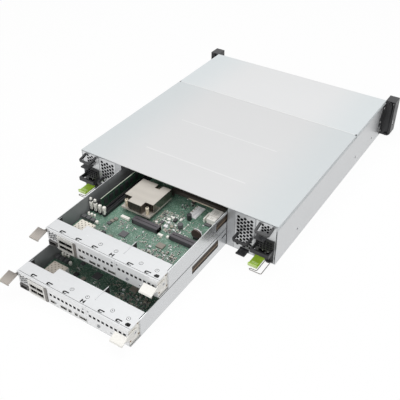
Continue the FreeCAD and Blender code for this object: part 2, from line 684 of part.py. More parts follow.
def slots():
    pieces = []
    groove = SOCKET_SLOT / 2
    for i in range(4):
        x = lx(DIMM_X + DIMM_PITCH * i)
        socket = block(x - 3.2, x + 3.2, DIMM_Y, DIMM_Y + DIMM_SOCKET_L, board_top, SOCKET_TOP)
        cut = block(x - groove, x + groove, DIMM_Y + 3, DIMM_Y + DIMM_SOCKET_L - 3,
                    board_top + 2, SOCKET_TOP + 1)
        pieces.append(socket.cut(cut))
        for y0, lean in ((DIMM_Y, -LATCH_LEAN), (DIMM_Y + DIMM_SOCKET_L, LATCH_LEAN)):
            profile = [(y0, board_top), (y0, LATCH_TOP - 5), (y0 + lean, LATCH_TOP),
                       (y0 + 2 * lean, LATCH_TOP), (y0 + 2 * lean, board_top)]
            pieces.append(plate("yz", x - 2.8, 5.6, profile))
    y = CARD_SLOT_Y
    reach = CARD_SLOT_D / 2
    for a0, a1 in ((lx(90.5), lx(146.0)), (rx(64.5), rx(14.5))):
        slot = block(a0, a1, y - reach, y + reach, board_top, board_top + CARD_SLOT_H)
        cut = block(a0 + 3, a1 - 3, y - 0.9, y + 0.9, board_top + 3, board_top + CARD_SLOT_H + 1)
        pieces.append(slot.cut(cut))
    return pieces


def dimm():
    x = lx(DIMM_X + DIMM_PITCH * 2)
    foot = board_top + 2
    pieces = [block(x - 0.65, x + 0.65, DIMM_Y + 4.3, DIMM_Y + DIMM_SOCKET_L - 4.3, foot, foot + 30)]
    for i in range(8):
        y = DIMM_Y + 12 + 15.2 * i
        pieces.append(block(x + 0.65, x + 1.85, y, y + 9, SOCKET_TOP + 8, SOCKET_TOP + 20))
    return pieces


def components():
    top = board_top
    pieces = [block(lx(SINK[0] + 6), lx(SINK[1] - 6), SINK[2] + 6, SINK[3] - 6, top, SINK_BASE)]
    from_left = ((67.5, 79.5, 118, 127, 6), (90.5, 104.5, 80, 94, 2), (61.0, 68.5, 66, 74, 3),
                 (78.5, 85.5, 60, 72, 3), (53.5, 60.5, 93, 99, 3), (54.5, 61.5, 101, 107, 3),
                 (56.5, 63.5, 109, 115, 3))
    from_right = ((74.0, 59.5, 91, 103, 2.5), (37.5, 20.5, 204, 223, 12), (35.0, 20.0, 185, 202.5, 12),
                  (41.5, 38.5, 187, 222, 9), (74.0, 56.0, 190, 224, 3), (36.1, 16.1, 145, 149, 20),
                  (88.5, 78.5, 117, 122, 3), (71.5, 66.5, 119, 124, 4), (92.5, 84.5, 140, 146, 4),
                  (104.5, 98.5, 146, 153, 3), (82.5, 76.5, 146, 152, 3), (98.5, 92.5, 160, 166, 3),
                  (86.5, 80.5, 162, 170, 4), (78.0, 74.0, 170, 177, 3))
    for a0, a1, y0, y1, h in from_left:
        pieces.append(block(lx(a0), lx(a1), y0, y1, top, top + h))
    for a0, a1, y0, y1, h in from_right:
        pieces.append(block(rx(a0), rx(a1), y0, y1, top, top + h))
    for i in range(3):
        x = lx(6.0 + 10.0 * i)
        pieces.append(block(x, x + 8, 80, 88, top, top + 7))
    for d, y, r, h in ((65.5, 184, 4.5, 12), (66.0, 156, 5.0, 9)):
        pieces.append(rod((rx(d), y, top), (0, 0, 1), r, h))
    switch_x = rx(BUTTON_X)
    pieces.append(block(switch_x - 4, switch_x + 4, 8.6, 16, top, BUTTON_Z + 4))
    pieces.append(block(-42, 42, board_end - 22, module_l - 1, top + 3, top + 13))
    pieces.append(block(-42, 42, board_end - 22, board_end, top, top + 3))
    return pieces


def io_ports():
    """Port shells standing on the board behind the panel, each open to the rear."""
    x0, x1 = lx(CAGE_X[0]), lx(CAGE_X[1])
    cage = block(x0, x1, -2, CAGE_L, board_top, CAGE_TOP)
    cage = cage.cut([block(x0 + 1.2, x1 - 1.2, -3, CAGE_L - 10, 6.2, 14.2),
                     block(x0 + 1.2, x1 - 1.2, -3, CAGE_L - 10, 17.4, 25.4)])
    frame_hole = rect(x0, x1, board_top, CAGE_TOP)
    frame = plate("xz", -2.0, 2.0, rect(x0 - 2, x1 + 7, SLED_SHEET + 1, CAGE_TOP + 5), [frame_hole])
    j0, j1 = lx(JACK_X[0]), lx(JACK_X[1])
    jack = block(j0, j1, -JACK_OUT, 16, board_top, JACK_TOP)
    jack = jack.cut(block(j0 + 1.4, j1 - 1.4, -JACK_OUT - 1, 12, board_top + 1.2, JACK_TOP - 1.4))
    pieces = [cage, frame, jack]
    for a0, a1, top in SMALL_PORTS:
        shell = block(lx(a0), lx(a1), -0.6, 13, board_top, top)
        pieces.append(shell.cut(block(lx(a0) + 0.7, lx(a1) - 0.7, -2, 9, board_top + 0.9, top - 0.7)))
    return pieces


os.makedirs("parts", exist_ok=True)
seam_y = front - FRONT_COVER_D
export("chassis_tray", [chassis_tray()])
export("rear_cover", [cover(rear, seam_y - SEAM / 2, seam_y - SEAM / 2)])
export("front_cover", [cover(seam_y + SEAM / 2, front, seam_y + SEAM / 2)])
export("bay_walls", bay_walls())
export("drive_cage", [drive_cage()])
export("midplane", midplane())
ear = rack_ear()
export("right_ear", [ear])
export("left_ear", [mirrored(ear)])

carrier = drive_carrier()
for number, (bay_x, bay_z) in enumerate(bays(), start=1):
    export("drive_carrier_%02d" % number, carrier, bay_x, 0.0, bay_z)

sled_pieces = {
    "sled_tray": [sled_tray(), brace()], "rear_panel": rear_panel(), "board": board(),
    "heatsink": [heatsink()], "slots": slots(), "dimm": dimm(), "components": components(),
    "io_ports": io_ports(), "left_lever": [left_lever()], "right_lever": [right_lever()],
    "power_button": [power_button()],
}
for level, out, level_z in (("upper", UPPER_OUT, upper_z), ("lower", LOWER_OUT, lower_z)):
    for name, solids in sled_pieces.items():
        export("%s_%s" % (level, name), solids, 0.0, rear - out, level_z)

psu_pieces = {"psu_case": [psu_case()], "psu_face": psu_face(),
              "psu_latch": [latch(3.4, 22.4, 30.0, 4.2)], "psu_bail": [psu_bail()]}
fan_pieces = {"fan_case": fan_case(), "fan_handle": [fan_handle()],
              "fan_latch": [latch(FAN_TAB[0], FAN_TAB[1], 17.0, 2.0)],
              "fan_rotor_low": [fan_rotor(fan_levels[0])], "fan_rotor_high": [fan_rotor(fan_levels[1])]}
for side, psu_left, fan_left in (("left", -psu_x - PSU_W, -fan_x - FAN_W), ("right", psu_x, fan_x)):
    for name, solids in psu_pieces.items():
        export("%s_%s" % (side, name), solids, psu_left, rear, 0.0)
    for name, solids in fan_pieces.items():
        export("%s_%s" % (side, name), solids, fan_left, rear, 0.0)
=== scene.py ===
import math
import random

import bmesh
import bpy
from mathutils import Matrix, Vector


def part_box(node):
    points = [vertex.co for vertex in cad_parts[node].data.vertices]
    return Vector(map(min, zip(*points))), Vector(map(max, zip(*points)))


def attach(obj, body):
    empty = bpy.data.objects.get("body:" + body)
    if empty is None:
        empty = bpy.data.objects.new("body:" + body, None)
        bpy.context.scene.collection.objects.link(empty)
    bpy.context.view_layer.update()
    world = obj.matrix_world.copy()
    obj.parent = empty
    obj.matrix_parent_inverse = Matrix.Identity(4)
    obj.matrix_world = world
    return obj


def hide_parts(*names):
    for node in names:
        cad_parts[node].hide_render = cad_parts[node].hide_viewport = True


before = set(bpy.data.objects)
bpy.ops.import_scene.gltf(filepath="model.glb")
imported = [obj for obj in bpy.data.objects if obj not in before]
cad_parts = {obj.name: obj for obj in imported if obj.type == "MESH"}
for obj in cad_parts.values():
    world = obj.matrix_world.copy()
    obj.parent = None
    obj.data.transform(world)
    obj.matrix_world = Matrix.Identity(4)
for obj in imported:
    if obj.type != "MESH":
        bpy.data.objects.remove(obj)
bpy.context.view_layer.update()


# Chassis tray: one sheet of galvanised steel folded into a floor and two side walls and pierced for the
# rail kit. The rolled sheet keeps a faint grain along its length and slow clouds in the zinc.
def node(tree, kind, inputs=None, **settings):
    """New shader node; an input that is given a socket is linked to it, any other takes the value."""
    made = tree.nodes.new(kind)
    for key, value in settings.items():
        setattr(made, key, value)
    for key, value in (inputs or {}).items():
        if isinstance(value, bpy.types.NodeSocket):
            tree.links.new(value, made.inputs[key])
        else:
            made.inputs[key].default_value = value
    return made


def sums(tree, operation, *values, clamp=False):
    """One sum on numbers."""
    made = node(tree, "ShaderNodeMath", dict(enumerate(values)), operation=operation, use_clamp=clamp)
    return made.outputs[0]


def vectors(tree, operation, *values):
    """One sum on vectors or colours."""
    return node(tree, "ShaderNodeVectorMath", dict(enumerate(values)), operation=operation).outputs[0]


def toned(tree, colour, shade):
    """A colour made lighter or darker by a number."""
    return node(tree, "ShaderNodeVectorMath", {0: colour, "Scale": shade}, operation="SCALE").outputs[0]


def noise(tree, place, scale, detail, roughness=0.5):
    """Cloudy noise about one half."""
    values = {"Vector": place, "Scale": scale, "Detail": detail, "Roughness": roughness}
    return node(tree, "ShaderNodeTexNoise", values).outputs[0]


def place_on(tree):
    """Place on the piece, in metres."""
    return node(tree, "ShaderNodeTexCoord").outputs["Object"]


def feed(tree, made, **sockets):
    """Links sockets to a node's inputs."""
    for key, socket in sockets.items():
        tree.links.new(socket, made.inputs[key.replace("_", " ")])


def effect(name, inputs, outputs):
    """Shader node group with named sockets; returns its tree, what it is given and its output node."""
    tree = bpy.data.node_groups.new(name, "ShaderNodeTree")
    for label, kind, value in inputs:
        socket = tree.interface.new_socket(label, in_out="INPUT", socket_type="NodeSocket" + kind)
        socket.default_value = value
    for label, kind in outputs:
        tree.interface.new_socket(label, in_out="OUTPUT", socket_type="NodeSocket" + kind)
    return tree, tree.nodes.new("NodeGroupInput").outputs, tree.nodes.new("NodeGroupOutput")


def effect_in(tree, name, **values):
    """Places a shared effect in a material with its own values."""
    made = node(tree, "ShaderNodeGroup", node_tree=bpy.data.node_groups[name])
    for key, value in values.items():
        made.inputs[key.replace("_", " ")].default_value = value
    return made.outputs


ALONG_DEPTH = (900, 14, 900)
ALONG_WIDTH = (14, 900, 900)
ZINC_CLOUDS = 18.0
SHEET_RELIEF = 0.0002


def rolled_grain():
    """Grain of rolled sheet: fine streaks along one way, and slow zinc clouds."""
    tree, given, out = effect(
        "rolled_grain",
        [("Color", "Color", (0.7, 0.7, 0.7, 1)), ("Contrast", "Float", 0.1), ("Roughness", "Float", 0.4),
         ("Stretch", "Vector", ALONG_DEPTH), ("Cloud Scale", "Float", ZINC_CLOUDS)],
        [("Color", "Color"), ("Roughness", "Float"), ("Height", "Float")])
    place = place_on(tree)
    streak = noise(tree, vectors(tree, "MULTIPLY", place, given["Stretch"]), 1.0, 2.0)
    cloud = noise(tree, place, given["Cloud Scale"], 4.0)
    swing = sums(tree, "SUBTRACT", sums(tree, "ADD", streak, cloud), 1.0)
    shade = sums(tree, "MULTIPLY_ADD", swing, given["Contrast"], 1.0)
    feed(tree, out, Color=toned(tree, given["Color"], shade), Height=streak,
         Roughness=sums(tree, "MULTIPLY_ADD", swing, 0.05, given["Roughness"]))


def grain_in(tree, colour, roughness, contrast, stretch=ALONG_DEPTH, clouds=ZINC_CLOUDS):
    """Rolled grain in a material."""
    return effect_in(tree, "rolled_grain", Color=(*colour, 1), Contrast=contrast, Roughness=roughness,
                     Stretch=stretch, Cloud_Scale=clouds)


def surface(name, **values):
    """New material with its Principled shader; values go on the shader's own sockets."""
    material = bpy.data.materials.new(name)
    material.use_nodes = True
    shader = material.node_tree.nodes["Principled BSDF"]
    for key, value in values.items():
        shader.inputs[key.replace("_", " ")].default_value = value
    return material, material.node_tree, shader


def bumped(tree, shader, height, strength, distance):
    """Fine relief on a surface."""
    bump = node(tree, "ShaderNodeBump", {"Height": height, "Strength": strength, "Distance": distance})
    feed(tree, shader, Normal=bump.outputs[0])


def sheet(name, colour, roughness, metallic, contrast, stretch=ALONG_DEPTH, clouds=ZINC_CLOUDS, bump=0.012):
    """Sheet metal with rolled grain."""
    material, tree, shader = surface(name, Metallic=metallic)
    grain = grain_in(tree, colour, roughness, contrast, stretch, clouds)
    feed(tree, shader, Base_Color=grain["Color"], Roughness=grain["Roughness"])
    bumped(tree, shader, grain["Height"], bump, SHEET_RELIEF)
    return material


def dress(name, material, ease=0.0):
    """Gives a CAD node its finish, and an eased edge, in metres, where one shows."""
    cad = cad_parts[name]
    cad.data.materials.clear()
    cad.data.materials.append(material)
    if ease:
        weld = cad.modifiers.new("weld", "WELD")
        weld.merge_threshold = 1e-6
        bevel = cad.modifiers.new("ease", "BEVEL")
        bevel.width = ease
        bevel.segments = 2
        bevel.limit_method = "ANGLE"
        bevel.angle_limit = math.radians(40)


rolled_grain()
dress("chassis_tray", sheet("galvanised", (0.62, 0.63, 0.64), 0.36, 0.75, 0.08))

# Bay walls: folded posts either side of the node bay, each with a plain strip to the rear, shelf rails for
# the upper sled and thin dividers beside the supplies, galvanised and riveted to the floor.
dress("bay_walls", sheet("post_steel", (0.47, 0.48, 0.49), 0.40, 0.75, 0.22, ALONG_DEPTH, 220.0))

# Drive cage and midplane: an egg crate of slotted steel webs, with the backplane board screwed across its
# rear so that carriers plug in from the front and sleds, supplies and fans from the rear.
dress("drive_cage", sheet("cage_steel", (0.50, 0.51, 0.52), 0.42, 0.7, 0.12))
SKIN_RELIEF = 0.0001


def layered(tree, colour, *layers):
    """A colour with others laid over it in turn, each where its mask is one."""
    for mask, tone in layers:
        colour = node(tree, "ShaderNodeMix", {0: mask, 6: colour, 7: tone}, data_type="RGBA").outputs[2]
    return colour


def remap(tree, value, low, high, start=0.0, end=1.0):
    """Number that runs from low to high while the value runs from start to end."""
    return node(tree, "ShaderNodeMapRange", {"Value": value, 1: start, 2: end, 3: low, 4: high}).outputs[0]


def solder_mask():
    """Circuit board skin: mask over copper tracks in areas that run across or along, and tinned pads."""
    tree, given, out = effect(
        "solder_mask",
        [("Mask", "Color", (0.08, 0.18, 0.13, 1)), ("Track", "Color", (0.14, 0.27, 0.2, 1)),
         ("Pad", "Color", (0.5, 0.49, 0.42, 1))],
        [("Color", "Color"), ("Height", "Float")])
    place = place_on(tree)
    tracks = []
    for size in ((420, 46, 1), (52, 400, 1)):
        spread = vectors(tree, "MULTIPLY", place, size)
        cells = node(tree, "ShaderNodeTexVoronoi", {"Vector": spread, "Scale": 1.0, "Randomness": 0.6},
                     feature="DISTANCE_TO_EDGE", voronoi_dimensions="2D")
        tracks.append(sums(tree, "LESS_THAN", cells.outputs["Distance"], 0.09))
    across = sums(tree, "GREATER_THAN", noise(tree, place, 30.0, 1.0), 0.52)
    track = node(tree, "ShaderNodeMix", {0: across, 2: tracks[0], 3: tracks[1]}).outputs[0]
    shade = remap(tree, noise(tree, place, 26.0, 6.0, 0.65), 0.6, 1.4, 0.3, 0.7)
    dots = node(tree, "ShaderNodeTexVoronoi", {"Vector": place, "Scale": 210.0}, voronoi_dimensions="2D")
    pad = sums(tree, "LESS_THAN", dots.outputs["Distance"], 0.11)
    skin = layered(tree, toned(tree, given["Mask"], shade),
                   (sums(tree, "MULTIPLY", track, 0.6), given["Track"]), (pad, given["Pad"]))
    feed(tree, out, Color=skin, Height=track)


def laminate(name, mask, track):
    """Bare circuit board."""
    material, tree, shader = surface(name, Roughness=0.4)
    skin = effect_in(tree, "solder_mask", Mask=(*mask, 1), Track=(*track, 1))
    feed(tree, shader, Base_Color=skin["Color"])
    bumped(tree, shader, skin["Height"], 0.25, SKIN_RELIEF)
    return material


solder_mask()
dress("midplane", laminate("midplane_board", (0.02, 0.06, 0.045), (0.04, 0.12, 0.09)))

# Top covers: two lids of pale painted steel, folded down over the side walls and butted at a seam. Two shallow
# beads are pressed across the rear lid to stiffen it and carry a painted highlight, four spot welds show as
# faint dimples, and a painted highlight runs along the front lid's edge at the seam, between two tool notches
# in painted shade.
MM = 0.001
UP = (0, 0, 1)
LID_CLOUDS = 5.0
LID_BUMP = 0.004
BEADS = ((78.0, 1.7), (203.0, 1.2))
BEAD_LEFT, BEAD_RIGHT = -116.0, 110.0
DIMPLE_X, DIMPLE_Y = (-128.0, 127.0), (134.0, 257.0)
NOTCH_W, NOTCH_REACH = 3.8, 2.8
LID_SKIN = 0.3


def place_along(tree, axis):
    """Place on the piece along one axis, in metres."""
    return node(tree, "ShaderNodeSeparateXYZ", {0: place_on(tree)}).outputs[axis]


def lid_paint(name, colour):
    """Pale paint over rolled sheet, a little cooler towards the folded sides."""
    material, tree, shader = surface(name)
    grain = grain_in(tree, colour, 0.5, 0.03, ALONG_WIDTH, LID_CLOUDS)
    outward = sums(tree, "ABSOLUTE", place_along(tree, "X"))
    cool = node(tree, "ShaderNodeMapRange", {"Value": outward, 1: 0.09, 2: 0.21},
                interpolation_type="SMOOTHSTEP").outputs[0]
    tint = layered(tree, (1, 1, 1, 1), (cool, (0.91, 0.958, 0.97, 1)))
    feed(tree, shader, Base_Color=vectors(tree, "MULTIPLY", grain["Color"], tint), Roughness=grain["Roughness"])
    bumped(tree, shader, grain["Height"], LID_BUMP, SHEET_RELIEF)
    return material


def block(bm, low, high, ease=0.0, finish=0):
    """Box between two corners in millimetres, with eased edges where asked."""
    size = [b - a for a, b in zip(low, high)]
    middle = [(a + b) / 2 for a, b in zip(low, high)]
    spot = Matrix.Translation(middle) @ Matrix.Diagonal((*size, 1))
    made = bmesh.ops.create_cube(bm, size=1.0, matrix=spot)["verts"]
    for face in {f for v in made for f in v.link_faces}:
        face.material_index = finish
    if ease:
        edges = list({e for v in made for e in v.link_edges})
        bmesh.ops.bevel(bm, geom=edges, offset=ease, segments=2, profile=0.5, affect="EDGES", material=-1)


def rod(bm, base, axis, radius, length, finish=0, sides=20, tip=None, ease=0.0):
    """Round bar from a base point along an axis, in millimetres; tip is its far radius."""
    along = Vector(axis).normalized()
    turn = along.to_track_quat("Z", "Y").to_matrix().to_4x4()
    spot = Matrix.Translation(Vector(base) + along * length / 2) @ turn
    made = bmesh.ops.create_cone(bm, cap_ends=True, segments=sides, radius1=radius,
                                 radius2=radius if tip is None else tip, depth=length, matrix=spot)["verts"]
    for face in {f for v in made for f in v.link_faces}:
        face.material_index = finish
        face.smooth = len(face.verts) == 4
    if ease:
        edges = {e for v in made for e in v.link_edges}
        rims = [e for e in edges if any(len(f.verts) > 4 for f in e.link_faces)]
        bmesh.ops.bevel(bm, geom=rims, offset=ease, segments=2, profile=0.5, affect="EDGES", material=-1)


def piece(name, bm, body, slot, *finishes, at=(0, 0, 0)):
    """Turns a bmesh in millimetres into a piece that rides on a body; at is its corner in metres."""
    bmesh.ops.scale(bm, vec=(MM, MM, MM), verts=bm.verts)
    bmesh.ops.translate(bm, vec=at, verts=bm.verts)
    bmesh.ops.recalc_face_normals(bm, faces=bm.faces)
    mesh = bpy.data.meshes.new(name)
    bm.to_mesh(mesh)
    bm.free()
    made = bpy.data.objects.new(name, mesh)
    bpy.context.scene.collection.objects.link(made)
    for finish in finishes:
        mesh.materials.append(finish)
    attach(made, body)
    return made


lid_rear = lid_paint("lid_rear", (0.703, 0.706, 0.710))
# The beads' paint is lighter than the lid's: a painted highlight on their crowns.
bead_highlight = sheet("bead_highlight", (0.77, 0.77, 0.775), 0.6, 0.0, 0.03, ALONG_WIDTH, LID_CLOUDS, LID_BUMP)
# Near white for a painted highlight along the front lid's edge at the seam.
seam_highlight = sheet("seam_highlight", (0.93, 0.93, 0.93), 0.5, 0.0, 0.03)
# Near black for the painted shade in the tool notches.
notch_shade = sheet("notch_shade", (0.05, 0.05, 0.052), 0.6, 0.2, 0.05)
dress("rear_cover", lid_rear)
dress("front_cover", lid_paint("lid_front", (0.768, 0.773, 0.778)))
lid_low, lid_high = (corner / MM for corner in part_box("rear_cover"))
seam_y, front_y = (corner.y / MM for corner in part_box("front_cover"))
half_w, top_z, rear_y = lid_high.x, lid_high.z, lid_low.y
bm = bmesh.new()
# The beads carry the painted highlight finish.
for y, wide in BEADS:
    block(bm, (BEAD_LEFT, rear_y + y - wide, top_z - LID_SKIN),
          (BEAD_RIGHT, rear_y + y + wide, top_z + 0.1), 0.1)
for x in DIMPLE_X:
    for y in DIMPLE_Y:
        rod(bm, (x, rear_y + y, top_z - 0.05), UP, 2.0, 0.14, 1, 20, 1.2)
# Painted highlight along the front lid's edge at the seam.
block(bm, (-half_w + 5.0, seam_y + 0.1, top_z - LID_SKIN), (half_w - 5.0, seam_y + 1.4, top_z + 0.06), 0.05, 3)
# Dark blocks in the tool notches are painted shade.
for x in (-half_w + LID_SKIN, half_w - NOTCH_W - LID_SKIN):
    block(bm, (x, seam_y - NOTCH_REACH, top_z - 1.4),
          (x + NOTCH_W, seam_y + NOTCH_REACH, top_z - LID_SKIN), 0.0, 2)
piece("lid_beads", bm, "chassis", "cover_sheet", bead_highlight, lid_rear, notch_shade, seam_highlight)

# Rack ears: black moulded shells on a stepped side arm, screwed to the front corners of the chassis. A dark
# captive screw stands on its washer in each slot for the rack post.
FORWARD = (0, 1, 0)
EAR_SCREWS = ((-6.0, 12.0), (-6.0, 70.0), (-18.0, 40.0))
EAR_ARM = 1.2
RACK_SCREW_X, RACK_SCREW_IN = 12.35, 5.4


def moulded_skin():
    """Skin of a moulded plastic: fine spark texture with slow tone drift."""
    tree, given, out = effect(
        "moulded_skin",
        [("Color", "Color", (0.03, 0.03, 0.03, 1)), ("Drift", "Float", 0.2), ("Roughness", "Float", 0.5)],
        [("Color", "Color"), ("Roughness", "Float"), ("Height", "Float")])
    place = place_on(tree)
    swing = sums(tree, "SUBTRACT", noise(tree, place, 60.0, 3.0), 0.5)
    shade = sums(tree, "MULTIPLY_ADD", swing, given["Drift"], 1.0)
    feed(tree, out, Color=toned(tree, given["Color"], shade), Height=noise(tree, place, 1600.0, 2.0),
         Roughness=sums(tree, "MULTIPLY_ADD", swing, 0.25, given["Roughness"]))


def skin_in(tree, colour, roughness, drift):
    """Moulded skin in a material."""
    return effect_in(tree, "moulded_skin", Color=(*colour, 1), Drift=drift, Roughness=roughness)


def moulded(name, colour, roughness=0.5, drift=0.25, bump=0.12):
    """Moulded plastic with a spark-textured skin."""
    material, tree, shader = surface(name)
    skin = skin_in(tree, colour, roughness, drift)
    feed(tree, shader, Base_Color=skin["Color"], Roughness=skin["Roughness"])
    bumped(tree, shader, skin["Height"], bump, SKIN_RELIEF)
    return material


def screw(bm, x, y, z, radius, height, normal=UP, finish=0):
    """Pan head seated at a point, with a cross recess painted in shade in the piece's second finish."""
    along = Vector(normal)
    rod(bm, (x, y, z), along, radius, height, finish, 20, radius * 0.82, 0.12 * radius)
    crown = Vector((x, y, z)) + along * (height - 0.02)
    side = along.orthogonal().normalized()
    for arm in (side, along.cross(side)):
        reach = arm * radius * 0.5 + along.cross(arm) * radius * 0.13
        ends = (crown - reach, crown + reach + along * 0.06)
        block(bm, [min(pair) for pair in zip(*ends)], [max(pair) for pair in zip(*ends)], 0.0, 1)


moulded_skin()
ear_black = moulded("ear_black", (0.020, 0.020, 0.022), 0.38)
# Near black for painted shade in screw recesses, rivet holes and beside the slot lances.
recess_shade = moulded("recess_shade", (0.010, 0.010, 0.010), 0.7)
plated = sheet("plated_screw", (0.6, 0.6, 0.6), 0.3, 0.9, 0.05)
screw_dark = sheet("screw_dark", (0.035, 0.035, 0.037), 0.4, 0.5, 0.1)
for side, sign in (("left", -1), ("right", 1)):
    dress(side + "_ear", ear_black, 0.0004)
    bm = bmesh.new()
    for y, z in EAR_SCREWS:
        screw(bm, sign * (half_w + EAR_ARM), front_y + y, z, 2.4, 0.7, (sign, 0, 0))
    x = sign * (half_w + RACK_SCREW_X)
    for z in (RACK_SCREW_IN, top_z - RACK_SCREW_IN):
        rod(bm, (x, front_y - 5.0, z), FORWARD, 2.6, 9.0, 2, 20, None, 0.4)
        rod(bm, (x, front_y + 3.05, z), FORWARD, 5.3, 1.0, 2, 24, None, 0.2)
        screw(bm, x, front_y + 3.9, z, 4.2, 3.4, FORWARD, 2)
    piece(side + "_ear_screws", bm, "chassis", "galvanised_sheet", plated, recess_shade, screw_dark)

# Drive carriers: a dark moulded bezel with vents, a grey swing lever and a release button, die-cast rails
# behind it and a sealed drive between them. Two small light pipes show at the left of each bezel.
BEZEL_BACK = front_y - 6.0
BEZEL_FACE = front_y + 1.5
LEVER_RIB_PITCH, BUTTON_RIB_PITCH = 5, 2.4


def carrier_finish():
    """Dark moulded bezel at the front of the carrier, cast alloy behind it."""
    material, tree, shader = surface("carrier_finish")
    face = sums(tree, "GREATER_THAN", place_along(tree, "Y"), BEZEL_BACK * MM)
    skin = skin_in(tree, (0.02, 0.02, 0.022), 0.45, 0.25)
    grain = grain_in(tree, (0.5, 0.5, 0.5), 0.4, 0.1)
    feed(tree, shader, Base_Color=layered(tree, grain["Color"], (face, skin["Color"])),
         Metallic=sums(tree, "SUBTRACT", 0.8, face, clamp=True), Roughness=skin["Roughness"])
    bumped(tree, shader, skin["Height"], 0.1, SKIN_RELIEF)
    return material


carrier_skin = carrier_finish()
light_pipe = moulded("light_pipe", (0.35, 0.55, 0.35), 0.15, 0.1, 0.02)
release_grey = moulded("release_grey", (0.18, 0.18, 0.19), 0.45)
for number in range(1, 13):
    name = "drive_carrier_%02d" % number
    dress(name, carrier_skin)
    low, high = (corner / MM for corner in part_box(name))
    middle = (low.z + high.z) / 2
    bm = bmesh.new()
    for z in (middle + 4.0, middle - 4.0):
        rod(bm, (low.x + 2.6, BEZEL_FACE - 0.4, z), FORWARD, 0.9, 0.7, 0, 12, 0.7)
    for i in range(6):
        x = low.x + LEVER_RIB_PITCH * i
        block(bm, (x + 28, BEZEL_FACE + 3.0, low.z + 7), (x + 30, BEZEL_FACE + 4.6, high.z - 7), 0.3, 1)
    for i in range(4):
        z = middle + BUTTON_RIB_PITCH * i
        block(bm, (low.x + 7, BEZEL_FACE + 2.8, z - 4.2), (low.x + 14, BEZEL_FACE + 3.2, z - 3.0), 0.15, 1)
    piece("bezel_trim_%02d" % number, bm, name, "drive_alloy", light_pipe, release_grey)

# Fan modules: perforated steel ducts that slide in beside the node bay. Each has a black bow handle, a black
# sprung release tab and two small axial fans behind its honeycomb grille.
SIDES = ("left", "right")
# Near black painted shade for the insides of the ducts and cases.
INSIDE_SHADE = (0.012, 0.012, 0.013, 1)
DUCT_WALL = 1.0
FAN_RIB_PITCH = 2.4


def hollow():
    """Mask of a box in the piece's own frame: one within reach of its centre, nought outside."""
    tree, given, out = effect(
        "hollow", [("Centre", "Vector", (0, 0, 0)), ("Reach", "Vector", (0, 0, 0))], [("Mask", "Float")])
    away = vectors(tree, "ABSOLUTE", vectors(tree, "SUBTRACT", place_on(tree), given["Centre"]))
    over = node(tree, "ShaderNodeSeparateXYZ", {0: vectors(tree, "SUBTRACT", away, given["Reach"])}).outputs
    worst = sums(tree, "MAXIMUM", sums(tree, "MAXIMUM", over[0], over[1]), over[2])
    feed(tree, out, Mask=sums(tree, "LESS_THAN", worst, 0.0))


def within(tree, low, high):
    """Mask between two corners in metres."""
    low, high = Vector(low), Vector(high)
    return effect_in(tree, "hollow", Centre=(low + high) / 2, Reach=(high - low) / 2)["Mask"]


def steel_shaded_inside(name, colour, low, high, wall):
    """Bright sheet outside, painted shade near black inside the walls of a case between two corners."""
    material, tree, shader = surface(name)
    grain = grain_in(tree, colour, 0.32, 0.1)
    inset = Vector((wall, wall, wall)) * 0.9 * MM
    dark = within(tree, low + inset, high - inset)
    feed(tree, shader, Base_Color=layered(tree, grain["Color"], (dark, INSIDE_SHADE)),
         Metallic=sums(tree, "SUBTRACT", 0.75, dark, clamp=True),
         Roughness=sums(tree, "MAXIMUM", grain["Roughness"], dark))
    bumped(tree, shader, grain["Height"], 0.05, SHEET_RELIEF)
    return material


hollow()
fan_black = moulded("fan_black", (0.016, 0.016, 0.018), 0.4)
rotor_black = moulded("rotor_black", (0.014, 0.014, 0.015), 0.45)
for side in SIDES:
    low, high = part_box(side + "_fan_case")
    dress(side + "_fan_case", steel_shaded_inside(side + "_duct_steel", (0.62, 0.63, 0.64), low, high, DUCT_WALL))
    dress(side + "_fan_handle", fan_black, 0.0008)
    dress(side + "_fan_latch", fan_black, 0.0004)
    dress(side + "_fan_rotor_low", rotor_black)
    dress(side + "_fan_rotor_high", rotor_black)
    low, high = (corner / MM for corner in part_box(side + "_fan_latch"))
    bm = bmesh.new()
    for i in range(4):
        y = low.y + FAN_RIB_PITCH * i
        block(bm, (low.x + 2.5, y + 4, high.z - 1.6), (high.x - 2.5, y + 5.2, high.z - 0.9), 0.2)
    piece(side + "_fan_latch_ribs", bm, side + "_fan_latch", "black_plastic", fan_black)

# Power supplies: steel cases with a perforated upper face. The lower face is a black moulding with the inlet,
# a cord guard and a bow handle; a green sprung latch and a steel wire bail hang below it.
CASE_WALL = 0.8
INLET_PINS = ((14.5, 20.0), (25.5, 20.0), (20.0, 15.0))
LATCH_RIB_PITCH = 2.6
psu_black = moulded("psu_black", (0.014, 0.014, 0.016), 0.38)
bail_wire = sheet("bail_wire", (0.20, 0.185, 0.17), 0.4, 0.4, 0.1)
pin_tin = sheet("pin_tin", (0.36, 0.36, 0.36), 0.5, 0.1, 0.05)
